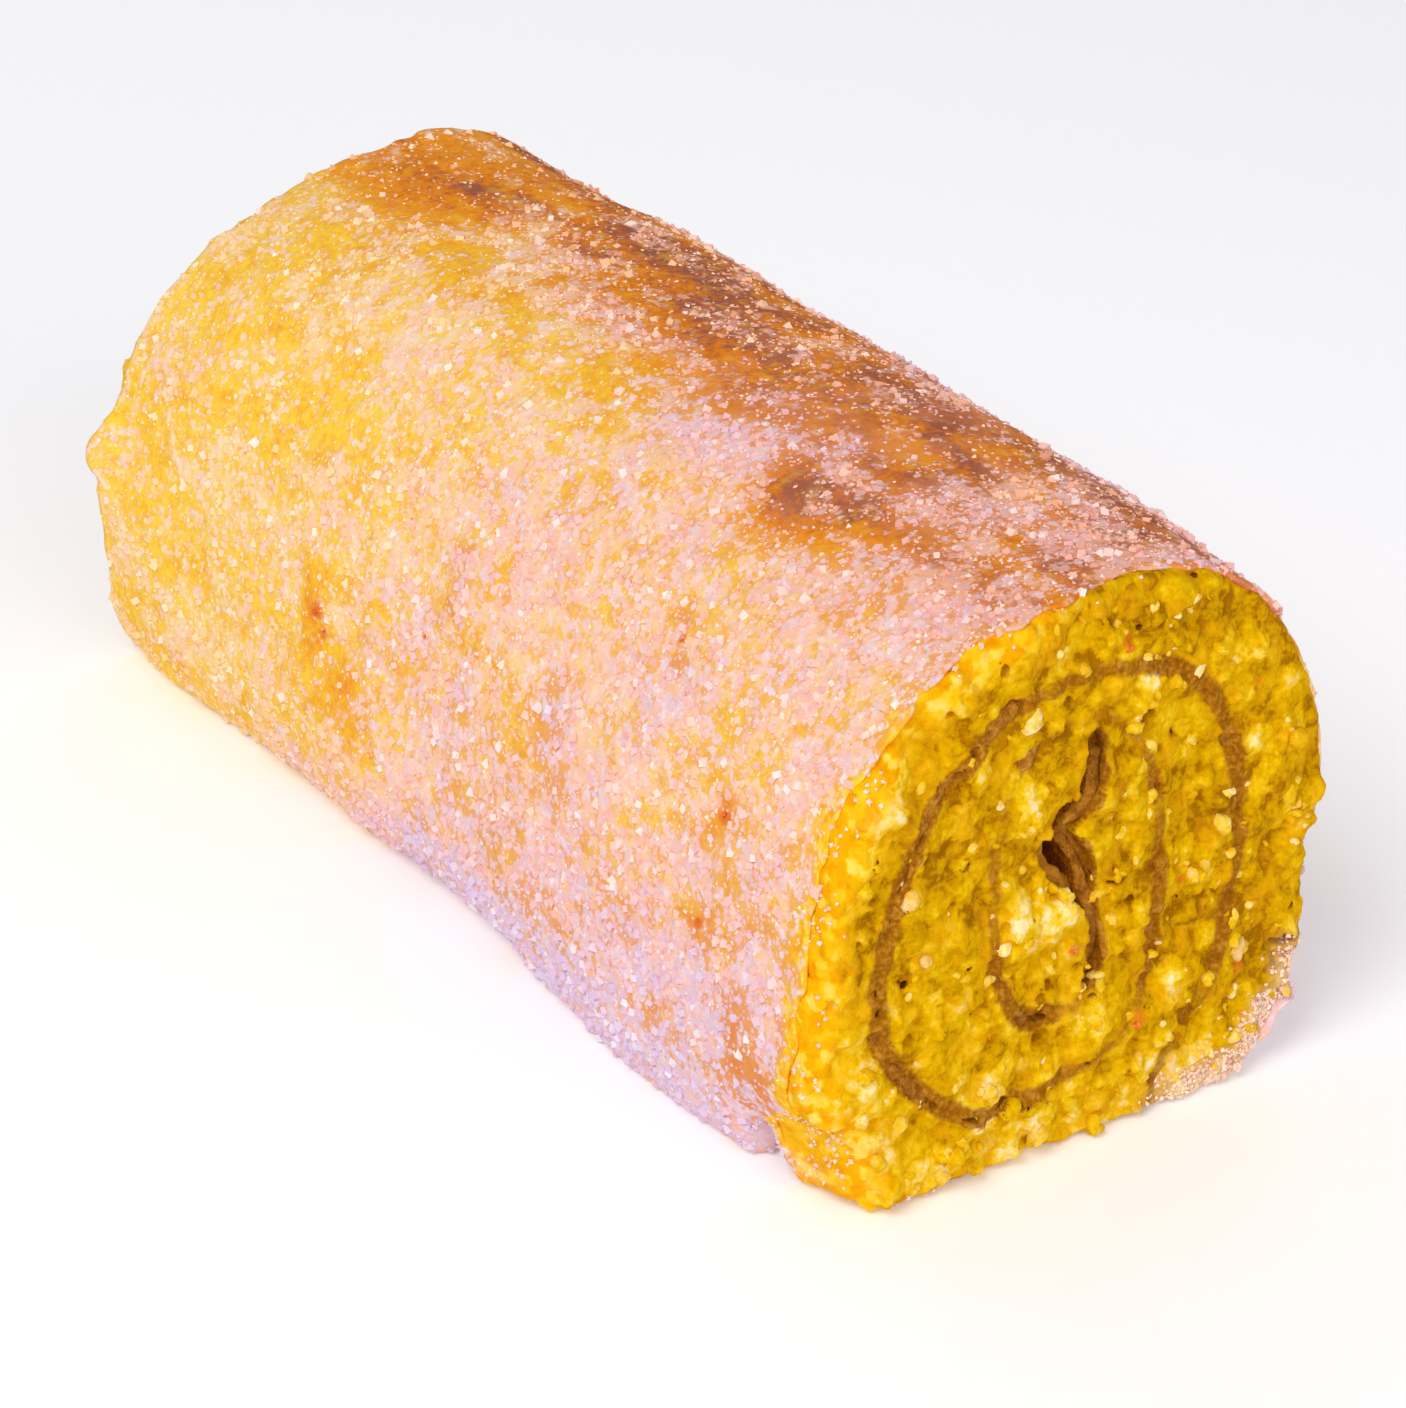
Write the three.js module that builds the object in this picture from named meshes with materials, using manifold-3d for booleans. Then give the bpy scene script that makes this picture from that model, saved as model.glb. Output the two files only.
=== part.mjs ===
// An orange roll cake: one soft sheet of yellow sponge rolled up round a thin brown filling.
// The roll lies on its seam, slightly bowed and squashed by its own weight, with both ends cut.
// Millimetres, +Z up. X runs along the roll, and the origin is under its middle, on the table.
// The cut end with the open core faces +X.

import * as THREE from "three";
import { mergeVertices } from "three/addons/utils/BufferGeometryUtils.js";
import Module from "manifold-3d";

const manifoldLibrary = await Module();
manifoldLibrary.setup();

// Roll
const ROLL_LENGTH = 199.5;
const BOW = 4.1; // the middle lies this far to +Y of the ends
const CENTRING = { x: 1.0, y: -1.3 }; // brings the middle of the uneven whole over the origin
const CUT_MIDDLE_Z = 42; // height at which a leaning cut has its nominal place
const NEAR_CUT = { leanPerHeight: -0.055, leanPerWidth: -0.046 };
const FAR_CUT = { leanPerHeight: 0.086, leanPerWidth: -0.075 };

// Cross-section: rounded oblong wraps, from the folded core out to the skin
const SECTION_Y = 1.2;
const HALF_WIDTH = 42.5;
const HALF_HEIGHT = 42.1;
const SKIN_MIDDLE_Z = 35.6;
const CORE_MIDDLE_Z = 41;
const CORE_HALF_HEIGHT = 19;
const TOP_SQUARENESS = 2.72; // superellipse exponents, 2 is an ellipse
const BOTTOM_SQUARENESS = 2.88;
const SIDE_LEAN = 3.3; // the top of the skin lies this far to +Y, the bottom to -Y
const TOP_SPREAD = 0.082; // how much wider than the bottom the top is
const SHOULDER = { cosine: -0.44, sine: -2.42 }; // threefold swell that lowers both shoulders

// Filling: the half width of the spiral against its turning angle in degrees.
// It starts below the skin at the seam, and ends at the top of the folded core.
const SPIRAL = [
  [-78, 50], [-64, 35], [-30, 30.3], [0, 28.4], [90, 28.3], [135, 28.2], [165, 29.9], [190, 32], [222, 30.6],
  [255, 30.2], [305, 22.5], [340, 15.4], [400, 14.8], [460, 15], [540, 13.2], [597, 14.4], [622, 10.5],
  [650, 6.5], [690, 4.6], [716, 1.4], [737, -2], [753, 3.2], [772, 5.6], [788, 9],
];
const SPIRAL_STEP = 5;
const FILLING_THICKNESS = 1.7;
const GAP = 0.3; // air between the filling and each wrap
const FILLING_RECESS = 1.6; // the filling ends this far inside each cut
const FILLING_WAVE = { size: 6, height: 0.5 }; // and its edge there is this uneven
const FILLING_START_Z = 1.6; // it stops this far above the table, inside the seam's mouth
const SEAM_MOUTH = { top: 3, fullyOpen: -1, widening: 1.6 }; // heights between which the seam gapes
const SLOT_STATIONS = [-6, 3, 9, 18, 32, 60]; // distances from each cut where the slot has a section
const FILLING_STATIONS = [FILLING_RECESS, 32, 60];

// Open core: the innermost fold gapes at the cut ends, as pockets along the spiral's last stretch.
// fromEnd and reach run along the spiral, depth runs into the roll, and each side gapes by widening.
const CORE_POCKETS = [
  { side: 1, fromEnd: 5, reach: 5, widening: 0.6, depth: 14 },
  { side: 1, fromEnd: 19.5, reach: 5.5, widening: 2.2, depth: 22 },
  { side: 1, fromEnd: 37, reach: 4.5, widening: 0.6, depth: 12 },
  { side: 1, fromEnd: 48, reach: 2.8, widening: 1.1, depth: 8 },
  { side: -1, fromEnd: 22, reach: 9, widening: 1.5, depth: 16 },
];

// Surface relief
// The rings of the skin lie this far apart, closer from finerFrom on, towards the torn near rim
const STATION_SPACING = { middle: 6.2, nearCut: 3.2, finerFrom: 72 };
const RING_POINTS = 72;
const FACE_RINGS = [
  { shrink: 0.95, points: 64 }, { shrink: 0.84, points: 48 }, { shrink: 0.71, points: 40 },
  { shrink: 0.57, points: 32 }, { shrink: 0.43, points: 24 }, { shrink: 0.28, points: 16 },
  { shrink: 0.13, points: 8 },
];
const LUMPS = [{ size: 34, height: 0.9 }, { size: 13, height: 0.55 }, { size: 6, height: 0.25 }];
const CRUMB = [{ size: 11, height: 0.7 }, { size: 4.2, height: 0.8 }];
const RIM_RAGGEDNESS = { size: 5, height: 0.7 };
const FLOOR_CLEAR = 2.5; // lumps fade out within this height of the table
const CURVE_STEPS = 1500; // a curve is measured in this many steps before it is divided evenly
const HASH_FACTORS = [374761393, 668265263, 1442695041, 1274126177];

// Local marks on the skin: x and turning angle of the centre, reach along and round, height outward
const MARKS = [
  { name: "sagging corner, far", x: -78, angle: 221, along: 30, round: 10.5, height: 4.5 },
  { name: "sagging corner, middle", x: -21, angle: 213, along: 40, round: 13.5, height: 4.4 },
  { name: "sagging corner, near", x: 50, angle: 227, along: 37.5, round: 16.5, height: 7 },
  { name: "back edge", x: -45, angle: 53, along: 24.5, round: 12.5, height: 0.8 },
  { name: "near cheek", x: 98, angle: 12, along: 19, round: 12, height: 2.4 },
  { name: "near corner", x: 101, angle: 228, along: 4.5, round: 8.5, height: -5.2 },
  { name: "near flank", x: 100, angle: 213, along: 13, round: 6, height: -5.3 },
  { name: "torn notch", x: 83, angle: 225, along: 2.5, round: 7.5, height: -7.9 },
  { name: "rim crack", x: 105, angle: 335, along: 2.5, round: 7.5, height: -2.5 },
  { name: "rim shard", x: 98, angle: 327, along: 3, round: 1.5, height: 3.2 },
  { name: "far shoulder", x: -115, angle: 111, along: 30, round: 22, height: -4.5 },
  { name: "far side", x: -98, angle: 158, along: 21.5, round: 9.5, height: 1.5 },
  { name: "far cheek", x: -99, angle: 187, along: 15.5, round: 7.5, height: 2.7 },
  { name: "lifted flake", x: -99, angle: 176, along: 3.5, round: 5, height: 4.5 },
];

// A fixed pseudo-random value from -1 to 1 for each corner of a lattice
function latticeValue(i, j, k) {
  const factors = HASH_FACTORS;
  let hash = Math.imul(i, factors[0]) ^ Math.imul(j, factors[1]) ^ Math.imul(k, factors[2]);
  hash = Math.imul(hash ^ (hash >>> 13), factors[3]);
  hash ^= hash >>> 16;
  const LOW_BITS = 65535;
  return (2 * (hash & LOW_BITS)) / LOW_BITS - 1;
}

// Smooth noise from -1 to 1 whose bumps are about as wide as size
function noise(x, y, z, size) {
  const cell = [x, y, z].map((value) => Math.floor(value / size));
  const part = [x, y, z].map((value, axis) => THREE.MathUtils.smoothstep(value / size - cell[axis], 0, 1));
  let sum = 0;
  for (let corner = 0; corner < 8; corner += 1) {
    const step = [corner & 1, (corner >> 1) & 1, corner >> 2];
    const weight = step.reduce((product, on, axis) => product * (on ? part[axis] : 1 - part[axis]), 1);
    sum += weight * latticeValue(cell[0] + step[0], cell[1] + step[1], cell[2] + step[2]);
  }
  return sum;
}

function layeredNoise(layers, x, y, z) {
  return layers.reduce((sum, layer) => sum + layer.height * noise(x, y, z, layer.size), 0);
}

// The fade of a mark or pocket: 1 at its centre, close to 0 from twice its reach
function fade(distance, reach) {
  return Math.exp(-((distance / reach) ** 2));
}

// One point of the wrap with this half width, at this turning angle, as [y, z]
function wrapPoint(halfWidth, degrees) {
  const angle = THREE.MathUtils.degToRad(degrees);
  const cosine = Math.cos(angle);
  const sine = Math.sin(angle);
  const share = halfWidth / HALF_WIDTH;
  const skinSquareness = THREE.MathUtils.lerp(BOTTOM_SQUARENESS, TOP_SQUARENESS, (1 + sine) / 2);
  const power = 2 / THREE.MathUtils.lerp(2, skinSquareness, Math.min(share, 1) ** 2);
  const across = Math.sign(cosine) * Math.abs(cosine) ** power;
  const upward = Math.sign(sine) * Math.abs(sine) ** power;
  const halfHeight = THREE.MathUtils.lerp(CORE_HALF_HEIGHT, HALF_HEIGHT, share ** 2);
  const middle = THREE.MathUtils.lerp(CORE_MIDDLE_Z, SKIN_MIDDLE_Z, share ** 3);
  const swell = (SHOULDER.cosine * Math.cos(3 * angle) + SHOULDER.sine * Math.sin(3 * angle)) * share ** 4;
  const spread = halfWidth * across * (1 + TOP_SPREAD * sine * share ** 2);
  return [
    SECTION_Y + spread + SIDE_LEAN * share * upward + swell * cosine,
    middle + halfHeight * upward + swell * sine,
  ];
}

// The distance from the first row of a [y, z] polyline to each of its rows
function distancesAlong(rows) {
  const distances = [0];
  for (let i = 1; i < rows.length; i += 1) {
    const step = Math.hypot(rows[i][0] - rows[i - 1][0], rows[i][1] - rows[i - 1][1]);
    distances.push(distances[i - 1] + step);
  }
  return distances;
}

// The same [y, z] polyline with this many rows, evenly spaced
function evenlySpaced(rows, count) {
  const distances = distancesAlong(rows);
  const total = distances[distances.length - 1];
  const spaced = [];
  let span = 1;
  for (let i = 0; i < count; i += 1) {
    const target = (total * i) / (count - 1);
    while (span < rows.length - 1 && distances[span] < target) span += 1;
    const share = (target - distances[span - 1]) / (distances[span] - distances[span - 1]);
    spaced.push(rows[span].map((value, k) => THREE.MathUtils.lerp(rows[span - 1][k], value, share)));
  }
  return spaced;
}

// The skin's section as [y, z] rows, flat on the table
function skinSection(count) {
  const rows = [];
  for (let i = 0; i <= CURVE_STEPS; i += 1) {
    const [y, z] = wrapPoint(HALF_WIDTH, (360 * i) / CURVE_STEPS);
    rows.push([y, Math.max(z, 0)]);
  }
  return evenlySpaced(rows, count + 1).slice(0, count);
}

function bowAt(x) {
  return BOW * (1 - (x / (ROLL_LENGTH / 2)) ** 2);
}

// How far a point of the section moves along X, as the two cuts lean and the roll between follows
function cutShift(x, y, z) {
  const cut = x > 0 ? NEAR_CUT : FAR_CUT;
  const share = THREE.MathUtils.clamp((Math.abs(x) / (ROLL_LENGTH / 2) - 0.5) * 2, 0, 1);
  return share * (cut.leanPerHeight * (z - CUT_MIDDLE_Z) + cut.leanPerWidth * y);
}

// Where a point of the straight, square roll comes to lie
function placed(x, y, z) {
  return [x + cutShift(x, y, z) + CENTRING.x, y + bowAt(x) + CENTRING.y, z];
}

function markHeight(x, angle) {
  return MARKS.reduce((sum, mark) => {
    const roundwards = (angle - THREE.MathUtils.degToRad(mark.angle)) * HALF_WIDTH;
    return sum + mark.height * fade(x - mark.x, mark.along) * fade(roundwards, mark.round);
  }, 0);
}

function skinPoint(x, [y, z]) {
  const outward = new THREE.Vector2(y - SECTION_Y, z - SKIN_MIDDLE_Z).normalize();
  const clear = THREE.MathUtils.smoothstep(z, 0, FLOOR_CLEAR);
  const height = layeredNoise(LUMPS, x, y, z) + markHeight(x, outward.angle());
  const lifted = z + outward.y * height * clear;
  return placed(x, y + outward.x * height * clear, Math.max(lifted, 0));
}

// One closed ring of the outside, at a place along X, shrunk towards the middle of the section
function ringPoints(x, shrink, count, side) {
  const section = skinSection(count);
  return section.map((row) => {
    const [px, py, pz] = skinPoint(x, row);
    const rag = side * RIM_RAGGEDNESS.height * noise(py, pz, side * ROLL_LENGTH, RIM_RAGGEDNESS.size);
    if (shrink === 1) return [px + rag, py, pz];
    const y = THREE.MathUtils.lerp(SECTION_Y, py - bowAt(x) - CENTRING.y, shrink);
    const z = THREE.MathUtils.lerp(CORE_MIDDLE_Z, pz, shrink);
    const [faceX, faceY, faceZ] = placed(x, y, z);
    return [faceX + side * layeredNoise(CRUMB, side * ROLL_LENGTH, y, z), faceY, faceZ];
  });
}

// The triangles between two rings that may differ in their number of points
function stitchRings(first, second, indices) {
  let i = 0;
  let j = 0;
  while (i < first.count || j < second.count) {
    const a = first.start + (i % first.count);
    const b = second.start + (j % second.count);
    if (j * first.count >= i * second.count && i < first.count) {
      indices.push(a, first.start + ((i + 1) % first.count), b);
      i += 1;
    } else {
      indices.push(a, second.start + ((j + 1) % second.count), b);
      j += 1;
    }
  }
}

// The closed outside of the roll: skin rings between two crumbly cut faces
function rollGeometry() {
  const positions = [];
  const indices = [];
  const rings = [];

  function addRing(x, shrink, count, side) {
    rings.push({ start: positions.length / 3, count });
    positions.push(...ringPoints(x, shrink, count, side).flat());
  }

  const reach = ROLL_LENGTH / 2;
  [...FACE_RINGS].reverse().forEach((ring) => addRing(-reach, ring.shrink, ring.points, -1));
  skinStations(reach).forEach((x) => addRing(x, 1, RING_POINTS, Math.abs(x) === reach ? Math.sign(x) : 0));
  FACE_RINGS.forEach((ring) => addRing(reach, ring.shrink, ring.points, 1));
  for (let i = 0; i + 1 < rings.length; i += 1) stitchRings(rings[i], rings[i + 1], indices);

  [rings[0], rings[rings.length - 1]].forEach((ring, end) => {
    const apex = positions.length / 3;
    positions.push(...placed(end === 0 ? -reach : reach, SECTION_Y, CORE_MIDDLE_Z));
    for (let j = 0; j < ring.count; j += 1) {
      const here = ring.start + j;
      const next = ring.start + ((j + 1) % ring.count);
      indices.push(apex, ...(end === 0 ? [next, here] : [here, next]));
    }
  });
  return indexedGeometry(positions, indices);
}

function indexedGeometry(positions, indices) {
  const geometry = new THREE.BufferGeometry();
  geometry.setAttribute("position", new THREE.Float32BufferAttribute(positions, 3));
  geometry.setIndex(indices);
  return geometry;
}

// The spiral's middle line as rows of [y, z, distance to its inner end]
function spiralLine() {
  const curve = new THREE.SplineCurve(SPIRAL.map(([degrees, width]) => new THREE.Vector2(degrees, width)));
  const rows = curve.getPoints(CURVE_STEPS).map((point) => wrapPoint(point.y, point.x));
  const length = distancesAlong(rows).pop();
  const steps = Math.round(length / SPIRAL_STEP);
  return evenlySpaced(rows, steps + 1).map(([y, z], i) => [y, z, length * (1 - i / steps)]);
}

// The direction in which the line runs at its row i
function directionAt(line, i) {
  const before = line[Math.max(i - 1, 0)];
  const after = line[Math.min(i + 1, line.length - 1)];
  return new THREE.Vector2(after[0] - before[0], after[1] - before[1]).normalize();
}

// A band swept along X: each row of the line has an inner and an outer edge.
// inner and outer give the distance of each edge from the line, for a row and a place along X.
function bandGeometry(line, stations, inner, outer, endShift) {
  const positions = [];
  const indices = [];
  const count = line.length;
  stations.forEach((x) => {
    line.forEach((row, i) => {
      const along = directionAt(line, i);
      [inner(row, x), outer(row, x)].forEach((distance) => {
        const y = row[0] + along.y * distance;
        const z = row[1] - along.x * distance;
        const [px, py, pz] = placed(x, y, z);
        positions.push(px + endShift(x, y, z), py, pz);
      });
    });
  });
  const at = (station, i, edge) => (station * count + i) * 2 + edge;
  const quad = (a, b, c, d) => indices.push(a, b, c, a, c, d);
  for (let s = 0; s + 1 < stations.length; s += 1) {
    for (let i = 0; i + 1 < count; i += 1) {
      quad(at(s, i, 0), at(s + 1, i, 0), at(s + 1, i + 1, 0), at(s, i + 1, 0));
      quad(at(s, i, 1), at(s, i + 1, 1), at(s + 1, i + 1, 1), at(s + 1, i, 1));
    }
    quad(at(s, 0, 0), at(s, 0, 1), at(s + 1, 0, 1), at(s + 1, 0, 0));
    quad(at(s, count - 1, 0), at(s + 1, count - 1, 0), at(s + 1, count - 1, 1), at(s, count - 1, 1));
  }
  const last = stations.length - 1;
  for (let i = 0; i + 1 < count; i += 1) {
    quad(at(0, i, 0), at(0, i + 1, 0), at(0, i + 1, 1), at(0, i, 1));
    quad(at(last, i, 0), at(last, i, 1), at(last, i + 1, 1), at(last, i + 1, 0));
  }
  return indexedGeometry(positions, indices);
}

// Places along X between two limits, this far apart or a little less, without the last
function evenStations(from, to, spacing) {
  const count = Math.ceil((to - from) / spacing);
  return Array.from({ length: count }, (_, i) => from + ((to - from) * i) / count);
}

// Places along X of the rings of the skin
function skinStations(reach) {
  const { middle, nearCut, finerFrom } = STATION_SPACING;
  return [...evenStations(-reach, finerFrom, middle), ...evenStations(finerFrom, reach, nearCut), reach];
}

// Places along X at these distances from each cut
function fromBothCuts(distances) {
  const near = distances.map((distance) => ROLL_LENGTH / 2 - distance);
  return [...near.map((x) => -x), ...near.reverse()];
}

// How far the open core gapes on each side of the spiral
function coreGape(row, x) {
  return CORE_POCKETS.reduce((sum, pocket) => {
    const inward = Math.max(ROLL_LENGTH / 2 - pocket.side * x, 0);
    return sum + pocket.widening * fade(row[2] - pocket.fromEnd, pocket.reach) * fade(inward, pocket.depth);
  }, 0);
}

function slotGeometry(line) {
  const halfGap = FILLING_THICKNESS / 2 + GAP;
  const mouthShare = (row) => 1 - THREE.MathUtils.smoothstep(row[1], SEAM_MOUTH.fullyOpen, SEAM_MOUTH.top);
  const half = (row, x) => halfGap + SEAM_MOUTH.widening * mouthShare(row) + coreGape(row, x);
  return bandGeometry(line, fromBothCuts(SLOT_STATIONS), (row, x) => -half(row, x), half, () => 0);
}

function fillingGeometry(line) {
  const half = FILLING_THICKNESS / 2;
  const end = ROLL_LENGTH / 2 - FILLING_RECESS;
  const covered = line.filter((row) => row[1] > FILLING_START_Z && row[2] > SPIRAL_STEP / 2);
  const wave = (x, y, z) => FILLING_WAVE.height * noise(x, y, z, FILLING_WAVE.size);
  const endShift = (x, y, z) => (Math.abs(x) === end ? wave(x, y, z) : 0);
  return bandGeometry(covered, fromBothCuts(FILLING_STATIONS), () => -half, () => half, endShift);
}

// A closed mesh as a solid that can be cut
function solidFrom(geometry) {
  const merged = mergeVertices(geometry);
  return new manifoldLibrary.Manifold(new manifoldLibrary.Mesh({
    numProp: 3,
    vertProperties: new Float32Array(merged.attributes.position.array),
    triVerts: new Uint32Array(merged.index.array),
  }));
}

function geometryFrom(solid) {
  const { vertProperties, triVerts } = solid.getMesh();
  return indexedGeometry(Array.from(vertProperties), Array.from(triVerts));
}

function mesh(name, geometry, material) {
  geometry.computeVertexNormals();
  const node = new THREE.Mesh(geometry, new THREE.MeshStandardMaterial(material));
  node.name = name;
  return node;
}

function sponge(line) {
  const rolled = solidFrom(rollGeometry()).subtract(solidFrom(slotGeometry(line)));
  return mesh("sponge", geometryFrom(rolled), { color: 0xe9b83a, roughness: 0.85, metalness: 0 });
}

function filling(line) {
  return mesh("filling", fillingGeometry(line), { color: 0x8a5a14, roughness: 0.4, metalness: 0 });
}

const cake = new THREE.Group();
const line = spiralLine();
cake.add(sponge(line));
cake.add(filling(line));

export default cake;
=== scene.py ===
import math
import bpy
import numpy as np
from mathutils import Matrix, Vector


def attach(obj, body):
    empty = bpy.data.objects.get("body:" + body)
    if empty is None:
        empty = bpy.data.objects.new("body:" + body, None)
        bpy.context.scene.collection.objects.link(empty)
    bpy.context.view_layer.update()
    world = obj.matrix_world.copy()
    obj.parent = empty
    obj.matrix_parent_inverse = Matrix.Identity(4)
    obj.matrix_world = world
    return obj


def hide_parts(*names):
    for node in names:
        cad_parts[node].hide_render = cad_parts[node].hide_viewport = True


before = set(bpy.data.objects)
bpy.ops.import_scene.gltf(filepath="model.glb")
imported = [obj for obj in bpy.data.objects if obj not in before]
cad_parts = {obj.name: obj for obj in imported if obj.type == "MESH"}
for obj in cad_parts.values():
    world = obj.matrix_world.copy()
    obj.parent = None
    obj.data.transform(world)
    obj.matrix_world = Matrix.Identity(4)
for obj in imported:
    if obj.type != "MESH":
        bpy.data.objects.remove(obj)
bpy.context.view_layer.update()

# The looks of an orange roll cake: a sugared golden skin, torn crumb at both cuts and a thin brown
# filling. Shapes are worked out in millimetres, in the frame's axes: X along the roll, +Z up.
MM = 0.001
SEED = 11
LEAST_HEIGHT = 0.02  # small things and crumb stay this far above the table

# The roll, with the sizes of the solids
ROLL_LENGTH = 199.5
REACH = ROLL_LENGTH / 2
BOW = 4.1
CENTRING = {"x": 1.0, "y": -1.3}
CUT_MIDDLE_Z = 42
NEAR_CUT = {"lean_per_height": -0.055, "lean_per_width": -0.046}
FAR_CUT = {"lean_per_height": 0.086, "lean_per_width": -0.075}
SECTION_Y = 1.2
HALF_WIDTH = 42.5
HALF_HEIGHT = 42.1
SKIN_MIDDLE_Z = 35.6
CORE_MIDDLE_Z = 41
CORE_HALF_HEIGHT = 19
TOP_SQUARENESS = 2.72
BOTTOM_SQUARENESS = 2.88
SIDE_LEAN = 3.3
TOP_SPREAD = 0.082
SHOULDER = {"cosine": -0.44, "sine": -2.42}
SPIRAL = [
    (-78, 50), (-64, 35), (-30, 30.3), (0, 28.4), (90, 28.3), (135, 28.2), (165, 29.9), (190, 32),
    (222, 30.6), (255, 30.2), (305, 22.5), (340, 15.4), (400, 14.8), (460, 15), (540, 13.2), (597, 14.4),
    (622, 10.5), (650, 6.5), (690, 4.6), (716, 1.4), (737, -2), (753, 3.2), (772, 5.6), (788, 9),
]
LINE_STEP = {"crumb": 0.4, "filling": 0.9}  # how close the points of the filling's line are
FILLING_THICKNESS = 1.7
FILLING_START_Z = 1.6
FILLING_SOUND_DEPTH = 30  # deeper than this the filling is as it was spread, untouched by the cut
PRESSED_IN = 0.3  # near the cuts the filling is this much wider on each side, pressed into the crumb
SEAM_MOUTH = {"top": 3, "fully_open": -1, "widening": 1.6}
CORE_POCKETS = [
    {"side": 1, "from_end": 5, "reach": 5, "widening": 0.6, "depth": 14},
    {"side": 1, "from_end": 19.5, "reach": 5.5, "widening": 2.2, "depth": 22},
    {"side": 1, "from_end": 37, "reach": 4.5, "widening": 0.6, "depth": 12},
    {"side": 1, "from_end": 48, "reach": 2.8, "widening": 1.1, "depth": 8},
    {"side": -1, "from_end": 22, "reach": 9, "widening": 1.5, "depth": 16},
]
LUMPS = [(34, 0.9), (13, 0.55), (6, 0.25)]
CRUMB = [(11, 0.7), (4.2, 0.8)]
RIM_RAGGEDNESS = (5, 0.7)
FLOOR_CLEAR = 2.5
CURVE_STEPS = 1500
HASH_FACTORS = (374761393, 668265263, 1442695041, 1274126177)

# Local marks on the skin: x, turning angle, reach along and round, height outward
MARKS = [
    (-78, 221, 30, 10.5, 4.5), (-21, 213, 40, 13.5, 4.4), (50, 227, 37.5, 16.5, 7),
    (-45, 53, 24.5, 12.5, 0.8), (98, 12, 19, 12, 2.4), (101, 228, 4.5, 8.5, -5.2),
    (100, 213, 13, 6, -5.3), (83, 225, 2.5, 7.5, -7.9), (105, 335, 2.5, 7.5, -2.5),
    (98, 327, 3, 1.5, 3.2), (-115, 111, 30, 22, -4.5), (-98, 158, 21.5, 9.5, 1.5),
    (-99, 187, 15.5, 7.5, 2.7), (-99, 176, 3.5, 5, 4.5),
]

# Fine skin: its grid, its wrinkles, and how it ends short of each cut in a thin ragged lip
SKIN_GRID = 0.85
SECTION_POINTS = {"to_measure": 400, "to_compare": 720}
FINE_SKIN = [(3.1, 0.16), (1.7, 0.10)]
LIP = {"short_of_cut": 1.1, "ragged": [(6.5, 1.0), (2.6, 1.0)], "short_below": 1.6, "below": (0.5, 4)}
LIP_ROWS = [(0.1, 0.3), (-0.2, 0.7), (-1.3, 1.1)]  # forward of the edge, below the skin
INNER_WALL = {"behind_edge": 3.0, "inset": 1.2}

# Where the skin has torn back further from the near cut: turning angle, half width and length
TORN_BACK = [(182, 46, 2.4), (204, 14, 2.0), (218, 13, 9.0)]
DISH = {"shrink": 0.62, "depth": 12.0, "middle_depth": 12.8}
SEAM_GROOVE = {"half_width": 1.2, "depth": 2.2}
SEAM_ROWS = 40  # the first rows of the filling's line, where it rises from the seam

# Crumb at the cuts, as a block of cells whose surface is then followed
CRUMB_STEP = {1: 0.5, -1: 0.72}
BLOCK = {"front": 3.0, "rim_depth": 4.5, "middle_depth": 13.0, "deeper_where_torn": 1.3, "beyond": 1}
BLOCK_MARGINS = {"left": 7, "right": 9, "under": 1.5, "over": 2}
SLOT_DEPTH = (2.6, 3.8)  # the crumb meets the filling below this, away from the torn pockets
BLOCK_MIDDLE_Z = 38
UNDER_SKIN = 0.25
RADIAL_TO_SHORTEST = 0.95  # the way to the skin is about this much shorter than along the radius
RIM_ROUNDING = 1.2
SHOULDER_ROUNDING = (182, 60, 2.6)  # more rounding at the near cut: turning angle, half width, amount
CLOTS = [(3.8, 1.3), (1.7, 0.85)]  # size and height of the rounded clots of crumb
PORES = {"size": 3.4, "smallest": 0.1, "largest": 1.05}
TEAR = [(5.2, 0.8), (2.1, 0.5), (1.1, 0.35)]
CLUMP_HEIGHT = 0.9

# Small torn holes in the near cut: y, z, half width, half height and depth
HOLES = [
    (13.9, 60.0, 1.3, 2.5, 5.0), (-8.4, 67.6, 1.3, 1.0, 2.6), (-3.8, 17.6, 1.7, 1.8, 3.0),
    (9.0, 37.8, 2.6, 0.4, 2.2), (38.2, 19.0, 2.6, 1.0, 4.0), (4.6, 54.5, 0.7, 2.2, 3.5),
]

# Clumps of paler crumb on the near cut: y, z and reach
CLUMPS = [
    (-5, 51, 3.5), (-8, 37, 4), (4, 18, 4), (26, 36, 4.5), (38, 49, 4), (42, 38, 3.5), (-27, 60, 3),
    (-33, 22, 4), (14, 66, 3), (-14, 12, 3.5), (22, 8, 3.5),
]

# The photograph's camera: where it stands, in mm, and which way it looks
EYE = (533.8, -336.4, 348.8)
VIEW_BACK = (0.7471, -0.4803, 0.4596)
VIEW_RIGHT = (0.5408, 0.8412, 0.0)
ROLL_DEGREES = 0.23
FOCAL_PIXELS = 4756.0
FRAME_PIXELS = 1408
SENSOR_MM = 36


def clamp01(value):
    return np.clip(value, 0, 1)


def smoothstep(value, low=0.0, high=1.0):
    share = clamp01((value - low) / (high - low))
    return share * share * (3 - 2 * share)


def lerp(start, end, share):
    return start + (end - start) * share


def fade(distance, reach):
    return np.exp(-((distance / reach) ** 2))


def lattice_value(i, j, k):
    """A fixed pseudo-random value from -1 to 1 for each corner of a lattice."""
    factors = [np.uint32(factor) for factor in HASH_FACTORS]
    corners = [np.asarray(c).astype(np.int64).astype(np.uint32) for c in (i, j, k)]
    value = corners[0] * factors[0] ^ corners[1] * factors[1] ^ corners[2] * factors[2]
    value = (value ^ (value >> np.uint32(13))) * factors[3]
    value = value ^ (value >> np.uint32(16))
    return 2 * (value & np.uint32(65535)).astype(np.float64) / 65535 - 1


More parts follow.
